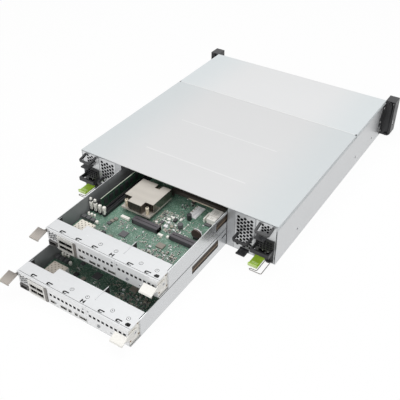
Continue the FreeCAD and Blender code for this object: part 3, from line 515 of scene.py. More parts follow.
# Pale green for a painted highlight on the latch's front lip.
latch_lip_highlight = moulded("latch_lip_highlight", (0.66, 0.82, 0.34), 0.4, 0.1, 0.05)
latch_green = moulded("latch_green", (0.43, 0.68, 0.055), 0.38, 0.15, 0.05)
for side in SIDES:
    low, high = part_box(side + "_psu_case")
    dress(side + "_psu_case", steel_shaded_inside(side + "_psu_steel", (0.69, 0.70, 0.71), low, high, CASE_WALL))
    dress(side + "_psu_face", psu_black, 0.0003)
    dress(side + "_psu_latch", latch_green, 0.0005)
    dress(side + "_psu_bail", bail_wire)
    bm = bmesh.new()
    for x, z in INLET_PINS:
        x += low.x / MM
        block(bm, (x - 1.0, rear_y + 3, z - 2.0), (x + 1.0, rear_y + 15, z + 2.0), 0.3)
    piece(side + "_psu_contacts", bm, side + "_psu", "port_shell", pin_tin)
    low, high = (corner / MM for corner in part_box(side + "_psu_latch"))
    bm = bmesh.new()
    for i in range(3):
        y = low.y + LATCH_RIB_PITCH * i
        block(bm, (low.x + 3, y + 4.5, 6.3), (high.x - 3, y + 5.9, 7.0), 0.25)
    # Painted highlight along the latch's front lip.
    block(bm, (low.x + 0.4, low.y - 0.1, low.z + 0.5), (high.x - 0.4, low.y + 0.6, high.z + 0.05), 0.2)
    piece(side + "_psu_latch_ribs", bm, side + "_psu_latch", "latch_green", latch_lip_highlight)

# Sled trays: shallow trays of bright galvanised steel that slide out to the rear, dull grey inside in painted
# shade, with a brace across them painted near black as shade and its tan rail. The windows in their walls are
# backed by strips of bronze springs, and the rear end of each wall is folded in to meet the lever bracket.
LEVELS = ("upper", "lower")
# Grey of painted shade on the inner faces of the sled walls and brackets.
WALL_SHADE_GREY = (0.27, 0.28, 0.285)
BRACE_Y = (224.5, 234.5)
SPRINGS = ((16.2, 1.2, 2), (19.0, 2.2, 1), (23.6, 1.2, 2), (27.2, 1.4, 2), (30.4, 0.8, 1))
RETURN_W = 2.6
strip_black = moulded("strip_black", (0.020, 0.016, 0.013), 0.5)
wall_shade_grey = sheet("wall_shade_grey", WALL_SHADE_GREY, 0.45, 0.1, 0.08)
return_steel = sheet("return_steel", (0.74, 0.75, 0.76), 0.45, 0.15, 0.06)
spring_bronze = sheet("spring_bronze", (0.24, 0.165, 0.10), 0.35, 0.5, 0.3)
spring_dull = sheet("spring_dull", (0.11, 0.078, 0.055), 0.45, 0.4, 0.2)
sled_at = {}


def from_left(column):
    """Place across the sled, counted from its left wall."""
    return column - half


def from_right(column):
    """Place across the sled, counted from its right wall."""
    return half - column


def sled_mask(tree, level, low, high):
    """Mask between two corners in millimetres, in a sled's own frame."""
    corner = Vector(sled_at[level])
    return within(tree, corner + Vector(low) * MM, corner + Vector(high) * MM)


def tray_finish(level, low, high):
    """Bright steel outside the tray, dull grey of painted shade within its walls, the brace dark in painted
    shade, its tan rail.
    """
    material, tree, shader = surface(level + "_tray_steel")
    bright = grain_in(tree, (0.63, 0.64, 0.65), 0.26, 0.08)
    dull = grain_in(tree, WALL_SHADE_GREY, 0.45, 0.08)
    rail = grain_in(tree, (0.56, 0.48, 0.38), 0.45, 0.2, ALONG_WIDTH)
    rim = Vector((0.95, 0.4, 0.4)) * MM
    inside = within(tree, low + rim, high - rim)
    near, far = BRACE_Y
    # The brace under the lid edge is painted near black as shade.
    brace = sled_mask(tree, level, (from_left(102.0), near, 4.6), (from_right(13.5), far, 34.2))
    bar = sled_mask(tree, level, (from_left(142.0), near, 10.6), (from_right(34.5), far, 14.6))
    rough = node(tree, "ShaderNodeMix", {0: inside, 2: bright["Roughness"], 3: dull["Roughness"]})
    feed(tree, shader, Metallic=remap(tree, inside, 0.9, 0.1), Roughness=rough.outputs[0],
         Base_Color=layered(tree, bright["Color"], (inside, dull["Color"]),
                            (brace, (0.052, 0.043, 0.037, 1)), (bar, rail["Color"])))
    return material


for level in LEVELS:
    low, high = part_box(level + "_sled_tray")
    sled_at[level] = (0.0, low.y, low.z)
    half = high.x / MM
    dress(level + "_sled_tray", tray_finish(level, low, high))
    bm = bmesh.new()
    for side in (-1, 1):
        x = side * (half - 1.6)
        block(bm, (x - 0.15, 168, 13), (x + 0.15, 258, 33.5))
        block(bm, (x - side * 0.3 - 0.15, 166, 12), (x - side * 0.3 + 0.15, 260, 34), 0.0, 3)
        spine = x + side * 0.35
        for z, tall, finish in SPRINGS:
            block(bm, (spine - 0.25, 170, z), (spine + 0.25, 256, z + tall), 0.2, finish)
    piece(level + "_window_strips", bm, level + "_sled", "port_shell", strip_black, spring_bronze, spring_dull,
          wall_shade_grey, at=sled_at[level])
    bm = bmesh.new()
    for x in (-half + 0.05, half - RETURN_W - 0.05):
        block(bm, (x, 26.0, 1.2), (x + RETURN_W, 27.0, 36.3), 0.2)
    piece(level + "_wall_returns", bm, level + "_sled", "galvanised_sheet", return_steel, at=sled_at[level])

# System boards: green solder mask over fine copper tracks, screwed down on standoffs in the sled tray. A black
# film lies on them under the bridge as painted shade, folded up at its inner edge beside the port cage.
BOARD = 4.6
SHADE_FILM = 0.35
# The lower board's colours are darker: painted shade under the upper sled.
BOARD_LIT_AND_SHADED = {"upper": ((0.088, 0.184, 0.131), (0.26, 0.40, 0.32)),
               "lower": ((0.062, 0.131, 0.093), (0.20, 0.30, 0.24))}
shade_film_black = moulded("shade_film_black", (0.010, 0.010, 0.011), 0.55)
for level in LEVELS:
    dress(level + "_board", laminate(level + "_board_green", *BOARD_LIT_AND_SHADED[level]))
    # A black sheet on the board under the bridge, painted shade.
    bm = bmesh.new()
    block(bm, (from_left(3.5), 1.4, BOARD), (from_left(25.4), 27.0, BOARD + SHADE_FILM), 0.1)
    block(bm, (from_left(3.5), 26.6, BOARD), (from_left(25.4), 27.0, 25.0), 0.1)
    block(bm, (from_left(68.8), 1.4, BOARD), (from_right(5.0), 42.4, BOARD + SHADE_FILM), 0.1)
    piece(level + "_board_shade_film", bm, level + "_sled", "black_plastic", shade_film_black, at=sled_at[level])

# Rear ports: a stacked cage of pressed steel with a perforated lid, a network jack and small shells, all
# soldered to the board and reaching through the rear panel.
# The lower cage lid's colours are a copy of the upper's, in painted shade under the upper sled.
LID_LIT_AND_SHADED = {"upper": ((0.78, 0.74, 0.65), (0.07, 0.05, 0.04)),
             "lower": ((0.40, 0.365, 0.315), (0.13, 0.11, 0.09))}
CAGE_ROWS = ((6.2, 14.2), (17.4, 25.4))


def port_finish(level, cream, vent_tone):
    """Plated shell: painted shade in the depth of the ports and on the jack's face, cream and dotted with vents
    on the cage lid.
    """
    material, tree, shader = surface(level + "_port_finish")
    grain = grain_in(tree, (0.74, 0.73, 0.70), 0.36, 0.12)
    # Painted shade in the depth of the ports.
    throat = sled_mask(tree, level, (-half, -0.5, 4.0), (half, 26.5, 40.0))
    lid = sled_mask(tree, level, (from_left(27.4), 27.0, 26.8), (from_left(59.6), 62.0, 27.2))
    frame_side = sled_mask(tree, level, (from_left(61.6), -3.0, 2.0), (from_left(67.0), 0.5, 35.0))
    # The jack's face is painted dark as the shade of its openings.
    jack = sled_mask(tree, level, (from_left(4.0), -4.0, 2.0), (from_left(24.0), 0.5, 15.0))
    turned = node(tree, "ShaderNodeMapping", {"Vector": place_on(tree), "Rotation": (0, 0, math.radians(45))})
    dots = node(tree, "ShaderNodeTexVoronoi", {"Vector": turned.outputs[0], "Scale": 170.0, "Randomness": 0.0},
                voronoi_dimensions="2D")
    vent = sums(tree, "LESS_THAN", dots.outputs["Distance"], 0.20)
    pierced = layered(tree, (*cream, 1), (vent, (*vent_tone, 1)))
    shut = sums(tree, "SUBTRACT", 0.3, throat, clamp=True)
    feed(tree, shader, Roughness=grain["Roughness"], Metallic=sums(tree, "SUBTRACT", shut, lid, clamp=True),
         Base_Color=layered(tree, grain["Color"], (frame_side, (0.24, 0.225, 0.21, 1)),
                            (jack, (0.15, 0.145, 0.14, 1)), (lid, pierced), (throat, (0.012, 0.011, 0.011, 1))))
    return material


contact = sheet("contact", (0.62, 0.6, 0.55), 0.3, 1.0, 0.05)
socket_black = moulded("socket_black", (0.016, 0.016, 0.018), 0.45)
for level in LEVELS:
    dress(level + "_io_ports", port_finish(level, *LID_LIT_AND_SHADED[level]))
    bm = bmesh.new()
    for floor_z, roof_z in CAGE_ROWS:
        block(bm, (from_left(43.1), -1.6, floor_z - 0.1), (from_left(43.9), 18.0, roof_z + 0.1), 0.1)
        for i in range(6):
            x = from_left(30.4 + 4.6 * i)
            block(bm, (x, -1.9, roof_z - 1.5), (x + 1.5, 5.0, roof_z - 0.5), 0.2)
        for i in range(2):
            x = from_left(31.6 + 15.0 * i)
            block(bm, (x, 9.0, floor_z + 1.6), (x + 9.0, 14.0, floor_z + 3.4), 0.2, 1)
    piece(level + "_port_fingers", bm, level + "_sled", "port_shell", contact, socket_black, at=sled_at[level])

# Memory and card sockets: black moulded housings with a contact groove along the top. The memory sockets
# have ivory latches that swing out at both ends.
MEMORY_COLUMNS = (6.5, 16.5, 26.5, 36.5)
MEMORY_Y = (109.0, 251.0)
CARD_SLOTS = ((from_left(90.5), from_left(146.0)), (from_right(64.5), from_right(14.5)))
CARD_SLOT_Y = (119.2, 132.6)
GROOVE_FLOOR, GROOVE_HALF = 9.0, 0.6
slot_charcoal = moulded("slot_charcoal", (0.070, 0.064, 0.072), 0.5)
latch_ivory = moulded("latch_ivory", (0.90, 0.88, 0.82), 0.4, 0.06)


def strip(bm, x, wide, ys, low, high, ease=0.0, finish=0):
    """Block of a half-width about x, between two places along the sled in either order."""
    block(bm, (x - wide, min(ys), low), (x + wide, max(ys), high), ease, finish)


for level in LEVELS:
    bm = bmesh.new()
    y0, y1 = MEMORY_Y
    for column in MEMORY_COLUMNS:
        x = from_left(column)
        for s in (-1, 1):
            strip(bm, x + s * 2.0, 1.2, MEMORY_Y, BOARD, 12.0, 0.3)
        strip(bm, x, 3.2, MEMORY_Y, BOARD, 6.6, 0.2)
        for y, s in ((y0, -1), (y1, 1)):
            strip(bm, x, 3.2, (y, y + s * 3), BOARD, 9.5, 0.4)
            strip(bm, x, 2.6, (y - s * 2, y + s * 2.6), 9.0, 20.0, 0.8, 1)
            strip(bm, x, 3.1, (y - s * 3, y + s * 3), 18.5, 25.5, 1.4, 1)
            strip(bm, x, 0.7, (y, y + s * 2.8), 10.5, 17.0, 0.2)
    for column in MEMORY_COLUMNS[:2]:
        x = from_left(column)
        strip(bm, x, 1.4, (y0 - 1.6, y0 + 1.0), 24.0, 30.0, 0.2)
        strip(bm, x, 2.5, (y0 - 2.4, y0 + 1.8), 29.0, 34.8, 1.6, 1)
    y0, y1 = CARD_SLOT_Y
    middle = (y0 + y1) / 2
    for x0, x1 in CARD_SLOTS:
        block(bm, (x0, y0, BOARD), (x1, y1, GROOVE_FLOOR), 0.3, 2)
        for near, far in ((y0, middle - GROOVE_HALF), (middle + GROOVE_HALF, y1)):
            block(bm, (x0, near, BOARD), (x1, far, 14.2), 0.25, 2)
        for end in (x0, x1 - 3):
            block(bm, (end, y0, BOARD), (end + 3, y1, 14.25), 0.25, 2)
        for i in range(int((x1 - x0 - 8) / 2)):
            x = x0 + 4.4 + 2 * i
            strip(bm, x, 0.4, (middle - GROOVE_HALF, middle - 0.3), GROOVE_FLOOR, 13.4, 0.0, 3)
    sockets = piece(level + "_sockets", bm, level + "_sled", "connector_plastic",
                    socket_black, latch_ivory, slot_charcoal, contact, at=sled_at[level])
    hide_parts(level + "_slots")

# Memory modules: a thin green board with black chips on one face and gilt contacts in the socket. The cut
# upper edge of the board shows pale.
CHIP_PITCH, GILT_PITCH = 15.2, 2.15
chip_black = moulded("chip_black", (0.022, 0.022, 0.024), 0.4)


def module_finish(level):
    """Module board painted dark green as shade, with a pale cut edge."""
    material, tree, shader = surface(level + "_module_board", Roughness=0.45)
    skin = effect_in(tree, "solder_mask", Mask=(0.016, 0.050, 0.030, 1), Track=(0.03, 0.08, 0.05, 1),
                     Pad=(0.03, 0.07, 0.045, 1))
    low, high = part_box(level + "_dimm")
    edge = within(tree, (low.x - MM, low.y - MM, high.z - 0.35 * MM), high + Vector((MM, MM, MM)))
    feed(tree, shader, Base_Color=layered(tree, skin["Color"], (edge, (0.52, 0.57, 0.47, 1))))
    bumped(tree, shader, skin["Height"], 0.2, SKIN_RELIEF)
    return material


for level in LEVELS:
    dress(level + "_dimm", module_finish(level))
    x = from_left(MEMORY_COLUMNS[2])
    bm = bmesh.new()
    for i in range(8):
        y = 121 + CHIP_PITCH * i
        block(bm, (x + 0.65, y - 0.1, 19.9), (x + 1.95, y + 9.1, 32.1), 0.15)
    for i in range(60):
        y = 114.5 + GILT_PITCH * i
        block(bm, (x + 0.6, y, 12.2), (x + 0.75, y + 1.2, 13.4), 0.0, 1)
    piece(level + "_module_chips", bm, level + "_sled", "connector_plastic", chip_black, contact,
          at=sled_at[level])

# Board parts: chips with legs, pin headers, chokes, cans, a standing coin cell, a plug-in card and the small
# passive parts between them, all soldered to the board.
chip_tan = moulded("chip_tan", (0.26, 0.235, 0.20), 0.4)
choke_grey = moulded("choke_grey", (0.10, 0.10, 0.105), 0.45)
shell_beige = moulded("shell_beige", (0.95, 0.92, 0.87), 0.45, 0.06)
card_white = moulded("card_white", (0.86, 0.86, 0.87), 0.5, 0.1)
cell_brown = sheet("cell_brown", (0.085, 0.06, 0.05), 0.35, 0.3, 0.2)
ceramic = moulded("ceramic", (0.38, 0.35, 0.29), 0.45)
solder = sheet("solder", (0.66, 0.66, 0.64), 0.3, 0.6, 0.1)
can_metal = sheet("can_metal", (0.66, 0.66, 0.66), 0.3, 0.7, 0.1)
BLACK, TAN, TIN, IVORY, CHOKE, BEIGE, WHITE, CAN, CELL, CERAMIC = range(10)
PART_FINISHES = (chip_black, chip_tan, solder, latch_ivory, choke_grey, shell_beige, card_white, can_metal,
                 cell_brown, ceramic)
LEG, LEG_PITCH = 0.25, 1.6
PIN_PITCH, SLIT_PITCH = 2, 2.8


def chip(bm, x0, x1, y0, y1, tall, finish=BLACK):
    """Flat package with a row of legs along two sides."""
    block(bm, (x0, y0, BOARD), (x1, y1, BOARD + tall), 0.2, finish)
    for i in range(int((x1 - x0) / LEG_PITCH)):
        for y, s in ((y0, -1), (y1, 1)):
            strip(bm, x0 + 0.8 + LEG_PITCH * i, LEG, (y, y + s * 1.1), BOARD, BOARD + 0.6, 0.0, TIN)


def header(bm, x0, x1, y0, y1, tall):
    """Ivory header: a closed body with a row of tinned contacts along its top and legs at its back."""
    top, middle = BOARD + tall, (y0 + y1) / 2
    block(bm, (x0, y0, BOARD), (x1, y1, top), 0.4, IVORY)
    for i in range(int((x1 - x0 - 1) / PIN_PITCH)):
        x = x0 + 1.4 + PIN_PITCH * i
        strip(bm, x, LEG, (middle - 0.6, middle + 0.6), top - 0.2, top + 0.1, 0.0, TIN)
        strip(bm, x, LEG, (y1, y1 + 1.0), BOARD, BOARD + 0.5, 0.0, TIN)


def choke(bm, x0, x1, y0, y1, tall, finish=CHOKE):
    """Moulded choke on a tinned lead frame."""
    block(bm, (x0, y0, BOARD + 0.4), (x1, y1, BOARD + tall), 0.7, finish)
    block(bm, (x0 - 0.4, y0 + 2, BOARD), (x1 + 0.4, y1 - 2, BOARD + 1.0), 0.2, TIN)


def strip_socket(bm, x0, x1, y0, y1, tall):
    """Beige socket with a row of contact slits along the top."""
    top = BOARD + tall
    block(bm, (x0, y0, BOARD), (x1, y1, top), 0.6, BEIGE)
    for i in range(int((y1 - y0 - 4) / SLIT_PITCH)):
        y = y0 + SLIT_PITCH * i
        block(bm, (x0 + 6.2, y + 2.7, top - 0.4), (x1 - 6.2, y + 3.2, top + 0.05), 0.0, TAN)


def can(bm, x, y, radius, tall, finish, sides, ease):
    """Round part standing on the board."""
    rod(bm, (x, y, BOARD), UP, radius, tall, finish, sides, None, ease)


def passives(bm, scatter, area, count, sizes, tones, taken):
    """Small soldered parts scattered over an area, clear of the larger ones."""
    x0, x1, y0, y1 = area
    placed = tries = 0
    while placed < count and tries < 40 * count:
        tries += 1
        x = round(scatter.uniform(x0, x1) / 1.5) * 1.5
        y = round(scatter.uniform(y0, y1) / 1.5) * 1.5
        a, b = scatter.choice(sizes)
        if scatter.random() < 0.5:
            a, b = b, a
        if any(p - a < x < q + a and r - b < y < s + b for p, q, r, s in taken):
            continue
        tall = min(a, b) * scatter.choice((0.9, 1.2, 1.8))
        block(bm, (x - a, y - b, BOARD), (x + a, y + b, BOARD + tall), 0.0, scatter.choice(tones))
        for s in (-1, 1):
            cx, cy, ex, ey = (x + s * a, y, 0.3, b) if a > b else (x, y + s * b, a, 0.3)
            block(bm, (cx - ex, cy - ey, BOARD), (cx + ex, cy + ey, BOARD + tall + 0.05), 0.0, TIN)
        taken.append((x - a - 0.4, x + a + 0.4, y - b - 0.4, y + b + 0.4))
        placed += 1


SMALL = ((0.8, 0.45), (1.0, 0.6), (1.6, 0.9))
LARGE = ((1.6, 0.9), (2.2, 1.3), (2.6, 1.8), (1.0, 0.6))
PLAIN = (BLACK, TAN, CERAMIC, CHOKE, TAN, CERAMIC, WHITE)
PALE = (WHITE, IVORY, CERAMIC, BEIGE, BLACK, CHOKE, TAN, CERAMIC)
CROWDS = (((-6, 60, 133, 182), 150, LARGE, PALE), ((36, 94, 66, 90), 60, LARGE, PLAIN),
          ((-68, -54, 64, 92), 16, SMALL, PLAIN), ((-48, -8, 96, 116), 30, SMALL, PLAIN),
          ((16, 42, 184, 226), 14, LARGE, PALE), ((60, 112, 133, 184), 34, SMALL, PLAIN),
          ((-112, -98, 92, 102), 10, LARGE, PALE), ((-30, 40, 60, 78), 30, SMALL, PLAIN),
          ((2, 42, 80, 116), 40, SMALL, PLAIN), ((62, 108, 92, 117), 30, SMALL, PLAIN),
          ((-112, 112, 228, 284), 90, SMALL, PLAIN))
KEPT_CLEAR = ((-117, -77, 103, 262), (-68, 0, 134, 210), (-30, 30, 117, 133), (52, 106, 117, 133),
              (-94, -56, 0, 62), (-30, -12, 78, 96), (43, 61, 88, 105), (32, 36, 0, 58), (76, 104, 184, 224),
              (44, 64, 188, 226), (12, 22, 144, 155), (80, 104, 142, 152), (28, 54, 115, 126),
              (-55, -35, 117, 128), (-115, -76, 78, 89), (46, 59, 150, 190), (31, 39, 160, 172),
              (24, 36, 138, 148), (34, 44, 144, 154), (18, 28, 158, 168), (38, 47, 168, 179),
              (-66, -54, 91, 117), (-59, -49, 65, 75), (-41, -32, 59, 73), (-42, 42, 288, 312))
CAN_RADIUS = 1.6
for level in LEVELS:
    bm = bmesh.new()
    block(bm, (from_left(58), 144, BOARD), (from_left(109.5), 202, 12.0), 0.3, BLACK)
    chip(bm, from_left(90.5), from_left(104.5), 80, 94, 2.0, CHOKE)
    chip(bm, from_left(61.0), from_left(68.5), 66, 74, 3.0)
    chip(bm, from_left(78.5), from_left(85.5), 60, 72, 3.0, TAN)
    for column, y, tone in ((53.5, 93, CHOKE), (54.5, 101, TAN), (56.5, 109, TAN)):
        chip(bm, from_left(column), from_left(column + 7), y, y + 6, 3.0, tone)
    chip(bm, from_right(74.0), from_right(59.5), 91, 103, 2.5, TAN)
    chip(bm, from_right(104.5), from_right(98.5), 146, 153, 3.0, CHOKE)
    chip(bm, from_right(86.5), from_right(80.5), 162, 170, 4.0)
    header(bm, from_left(64.0), from_left(82.5), 120, 126, 4.5)
    header(bm, from_right(88.5), from_right(78.5), 117, 122, 3.0)
    header(bm, from_right(71.5), from_right(66.5), 119, 124, 4.0)
    choke(bm, from_right(92.5), from_right(84.5), 140, 146, 4.0, WHITE)
    choke(bm, from_right(82.5), from_right(76.5), 146, 152, 3.0, CERAMIC)
    choke(bm, from_right(98.5), from_right(92.5), 160, 166, 3.0, BEIGE)
    choke(bm, from_right(78.0), from_right(74.0), 170, 177, 3.0, IVORY)
    for i in range(3):
        choke(bm, from_left(6.0 + 10.0 * i), from_left(14.0 + 10.0 * i), 80, 88, 7.0)
        can(bm, from_left(9.0 + 7.0 * i), 97, 2.2, 5.0, IVORY, 16, 0.3)
    can(bm, from_left(39.0), 84, 3.0, 6.0, IVORY, 18, 0.4)
    strip_socket(bm, from_right(36.0), from_right(15.5), 204, 223, 12.6)
    strip_socket(bm, from_right(33.5), from_right(15.5), 191, 202.5, 12.6)
    block(bm, (from_right(35.0), 184.5, BOARD), (from_right(22.0), 190.5, BOARD + 3.0), 0.4, CHOKE)
    block(bm, (from_right(40.5), 191, BOARD), (from_right(37.5), 212, BOARD + 9.0), 0.4, IVORY)
    block(bm, (from_right(74.0), 190, BOARD), (from_right(56.0), 224, BOARD + 2.0), 0.2, WHITE)
    for x in (73.4, 67.7, 62.0):
        block(bm, (from_right(x), 191, BOARD + 2.0), (from_right(x - 4.4), 223, BOARD + 3.0), 0.2, WHITE)
    for y in (193, 201, 209, 217):
        block(bm, (from_right(72.6), y, BOARD + 3.0), (from_right(70.4), y + 4, BOARD + 3.6), 0.1, CERAMIC)
    can(bm, from_right(65.5), 184, 4.5, 12.0, BLACK, 24, 0.5)
    can(bm, from_right(66.0), 156, 5.0, 9.0, CHOKE, 24, 0.6)
    block(bm, (from_right(31.1), 143.5, BOARD), (from_right(21.1), 150.5, BOARD + 5.0), 0.4, BLACK)
    rod(bm, (from_right(26.1), 145.2, BOARD + 10.0), FORWARD, 9.9, 3.4, CELL, 36, None, 0.4)
    rod(bm, (from_right(25.2), 148.6, BOARD + 10.8), FORWARD, 9.9, 1.4, WHITE, 36, None, 0.3)
    block(bm, (from_right(66.7), 8.6, BOARD), (from_right(58.7), 16, 13.5), 0.4, BLACK)
    block(bm, (-42, 290, BOARD), (42, 312, 7.6), 0.3, BLACK)
    block(bm, (-42, 290, 7.6), (42, 339, 17.6), 0.5, BLACK)
    scatter = random.Random(11)
    taken = list(KEPT_CLEAR)
    for area, count, sizes, tones in CROWDS:
        passives(bm, scatter, area, count, sizes, tones, taken)
    for i in range(24):
        x, y = scatter.uniform(-4, 60), scatter.uniform(134, 182)
        if not any(p - CAN_RADIUS < x < q + CAN_RADIUS and r - CAN_RADIUS < y < t + CAN_RADIUS
                   for p, q, r, t in taken):
            can(bm, x, y, CAN_RADIUS, 4.0, scatter.choice((IVORY, CAN, BLACK)), 12, 0.3)
            taken.append((x - 1.8, x + 1.8, y - 1.8, y + 1.8))
    parts = piece(level + "_board_parts", bm, level + "_sled", "component_plastic", *PART_FINISHES,
                  at=sled_at[level])
    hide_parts(level + "_components")

# Heatsinks: a stack of folded alloy fins on a base, closed along the top, with notches at the corners where
# sprung screws hold it down on the processor. The fins are painted dark as shade, and the outer ones also
# mirror the board.
SINK_SCREWS = ((from_left(60.5), 145), (from_left(107.0), 145), (from_left(92.0), 203))
SINK_DECK, SINK_LID, OUTER_FIN = 15.6, 0.8, 0.3
COIL_PITCH = 1.7
screw_brass = sheet("screw_brass", (0.74, 0.66, 0.53), 0.3, 0.5, 0.1)


def fin_stack(level, low, high):
    """Warm alloy with faint roll bands on top and base, painted shade on the fins between and on the
    mirror-like outer fins.
    """
    material, tree, shader = surface(level + "_fin_alloy")
    alloy = grain_in(tree, (0.50, 0.468, 0.422), 0.42, 0.06, ALONG_WIDTH, 30.0)
    bands = node(tree, "ShaderNodeTexWave", bands_direction="Y",
                 inputs={"Vector": place_on(tree), "Scale": 15.0, "Distortion": 3.0, "Detail": 3.0})
    banded = toned(tree, alloy["Color"], remap(tree, bands.outputs["Fac"], 0.965, 1.02))
    deck, lid = sled_at[level][2] + SINK_DECK * MM, high.z - SINK_LID * MM
    outer = within(tree, (low.x - MM, low.y - MM, deck), (high.x + MM, high.y + MM, lid))
    fin = OUTER_FIN * MM
    inner = within(tree, (low.x + fin, low.y - MM, deck), (high.x - fin, high.y + MM, lid))
    smooth = remap(tree, outer, 0.42, 0.16)
    feed(tree, shader, Metallic=remap(tree, outer, 0.35, 0.95),
         Roughness=sums(tree, "MULTIPLY_ADD", inner, 0.25, smooth),
         Base_Color=layered(tree, banded, (outer, (0.30, 0.265, 0.235, 1)), (inner, (0.27, 0.24, 0.21, 1))))
    return material


for level in LEVELS:
    dress(level + "_heatsink", fin_stack(level, *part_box(level + "_heatsink")))
    bm = bmesh.new()
    for x, y in SINK_SCREWS:
        rod(bm, (x, y, 15.4), UP, 2.6, 12.8, 0, 16)
        for i in range(7):
            rod(bm, (x, y, 15.8 + COIL_PITCH * i), UP, 3.5, 0.9, 0, 16, None, 0.2)
        screw(bm, x, y, 27.8, 3.8, 2.0)
    piece(level + "_heatsink_screws", bm, level + "_sled", "heatsink_alloy", screw_brass, recess_shade,
          at=sled_at[level])

# Rear panels: two flanged halves of bright plated steel with rows of vents and port openings, tied to the
# tray by a slotted bridge plate that is held with flush screws. Behind the face everything lies in shade.
REARWARD = (0, -1, 0)
BRIDGE_SCREWS = ((from_left(106.5), 18.5), (from_left(138.5), 19), (from_right(47), 18.5), (from_right(16), 19))
LANCE_SHADOWS = (from_left(28.0), from_left(63.0), from_left(98.0), from_right(65.5), from_right(30.5))
FACE_SCREWS = ((from_left(84.4), 9.7), (from_right(37.2), 9.7), (from_left(155.0), 31.5),
               (from_left(145.0), 31.5))
BRACKET_RIVETS = ((23.5, 31.0), (4.0, 8.0), (24.0, 7.0))
screw_pale = sheet("screw_pale", (0.66, 0.67, 0.68), 0.35, 0.5, 0.05)


def panel_finish(level):
    """Bright plating on the faces, painted shade behind the openings and in grey on the brackets, a painted
    highlight in cream on the right end.
    """
    material, tree, shader = surface(level + "_panel_plate")
    plating = grain_in(tree, (0.66, 0.67, 0.68), 0.42, 0.06, ALONG_WIDTH, 30.0)
    face = sled_mask(tree, level, (-half - 1, -1.0, 0.0), (half + 1, 0.15, 37.3))
    # Painted shade behind the panel face and, grey, on the brackets within.
    behind = sled_mask(tree, level, (-half + 3.8, 0.2, 1.0), (half - 3.8, 90, 37.3))
    brackets = sled_mask(tree, level, (-half + 3.0, 0.5, 1.0), (half - 3.0, 90, 36.7))
    dull = sums(tree, "SUBTRACT", brackets, behind, clamp=True)
    # The right bracket's outer face is painted pale cream as a highlight where its recess lies in shade.
    outer = sled_mask(tree, level, (half - 2.9, 1.2, 1.0), (half - 2.5, 28.0, 36.4))
    feed(tree, shader, Metallic=remap(tree, brackets, 0.2, 0.1),
         Roughness=sums(tree, "MULTIPLY_ADD", brackets, 0.3, plating["Roughness"]),
         Base_Color=layered(tree, plating["Color"], (face, (0.90, 0.905, 0.91, 1)),
                            (behind, (0.020, 0.020, 0.020, 1)), (dull, (*WALL_SHADE_GREY, 1)),
                            (outer, (0.94, 0.92, 0.87, 1))))
    return material


for level in LEVELS:
    dress(level + "_rear_panel", panel_finish(level))
    bm = bmesh.new()
    for x, y in BRIDGE_SCREWS:
        rod(bm, (x, y, 37.45), UP, 3.6, 0.15, 1, 24)
        rod(bm, (x, y, 37.5), UP, 2.9, 0.3, 0, 24, None, 0.1)
        screw(bm, x, y, 37.7, 2.1, 0.5)
    # Dark strips beside the near arm of each C-slot lance are painted shadow.
    for x in LANCE_SHADOWS:
        block(bm, (x - 0.9, 5.2, 37.4), (x + 0.1, 9.8, 37.54), 0.0, 1)
        block(bm, (x, 4.4, 37.4), (x + 5.0, 5.1, 37.54), 0.0, 1)
    rod(bm, (from_left(73.5), 24, 37.45), UP, 2.2, 0.18, 0, 20, 1.9)
    for x, z in FACE_SCREWS:
        screw(bm, x, 0.0, z, 2.3, 0.9, REARWARD)
    for y, z in BRACKET_RIVETS:
        rod(bm, (half - 2.7, y, z), (1, 0, 0), 1.7, 0.5, 2, 16, 1.4)
    piece(level + "_panel_screws", bm, level + "_sled", "panel_sheet", screw_pale, recess_shade, spring_bronze,
          at=sled_at[level])

# Ejector levers and power buttons: bent steel levers on rivets at both ends of the panel, the left painted
# brown-grey over pressed ribs and the right cream, and a small moulded button between the ports.
LEVER_PIN_Y = 14.0
LEVER_PINS = ((-1, 28.0), (1, 20.0))


def ribbed(name, colour, start, end):
    """Painted steel with pressed ribs along its length, 3 mm apart, their light and shade painted into the
    colour, and painted shade darkening it away from its free end.
    """
    material, tree, shader = surface(name, Metallic=0.2)
    grain = grain_in(tree, colour, 0.42, 0.14)
    # Painted shade darkens the lever towards the panel.
    far_shade = remap(tree, place_along(tree, "Y"), 1.1, 0.5, start, end)
    # The ribs' light and shade are painted into the colour as well as bumped.
    ribs = node(tree, "ShaderNodeTexWave", {"Vector": place_on(tree), "Scale": 105.0}, bands_direction="X")
    shade = sums(tree, "MULTIPLY", remap(tree, ribs.outputs["Fac"], 0.6, 1.12), far_shade)
    feed(tree, shader, Base_Color=toned(tree, grain["Color"], shade), Roughness=grain["Roughness"])
    bumped(tree, shader, ribs.outputs["Fac"], 0.6, 0.0004)
    return material


lever_cream = sheet("lever_cream", (0.87, 0.855, 0.81), 0.42, 0.0, 0.05)
button_grey = moulded("button_grey", (0.30, 0.31, 0.32), 0.4)
for level in LEVELS:
    low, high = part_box(level + "_left_lever")
    lever_brown = ribbed(level + "_lever_brown", (0.40, 0.365, 0.33), low.y + 0.006, low.y + 0.026)
    dress(level + "_left_lever", lever_brown, 0.0003)
    dress(level + "_right_lever", lever_cream, 0.0003)
    dress(level + "_power_button", button_grey, 0.0003)
    bm = bmesh.new()
    for side, z in LEVER_PINS:
        rod(bm, (side * (half - 0.38), LEVER_PIN_Y, z), (side, 0, 0), 3.4, 0.33, 0, 24, 3.0)
        # The rivet's hollow centre is painted shade.
        rod(bm, (side * (half - 0.1), LEVER_PIN_Y, z), (side, 0, 0), 1.4, 0.08, 1, 16)
    piece(level + "_lever_rivets", bm, level + "_sled", "panel_sheet", screw_pale, recess_shade,
          at=sled_at[level])

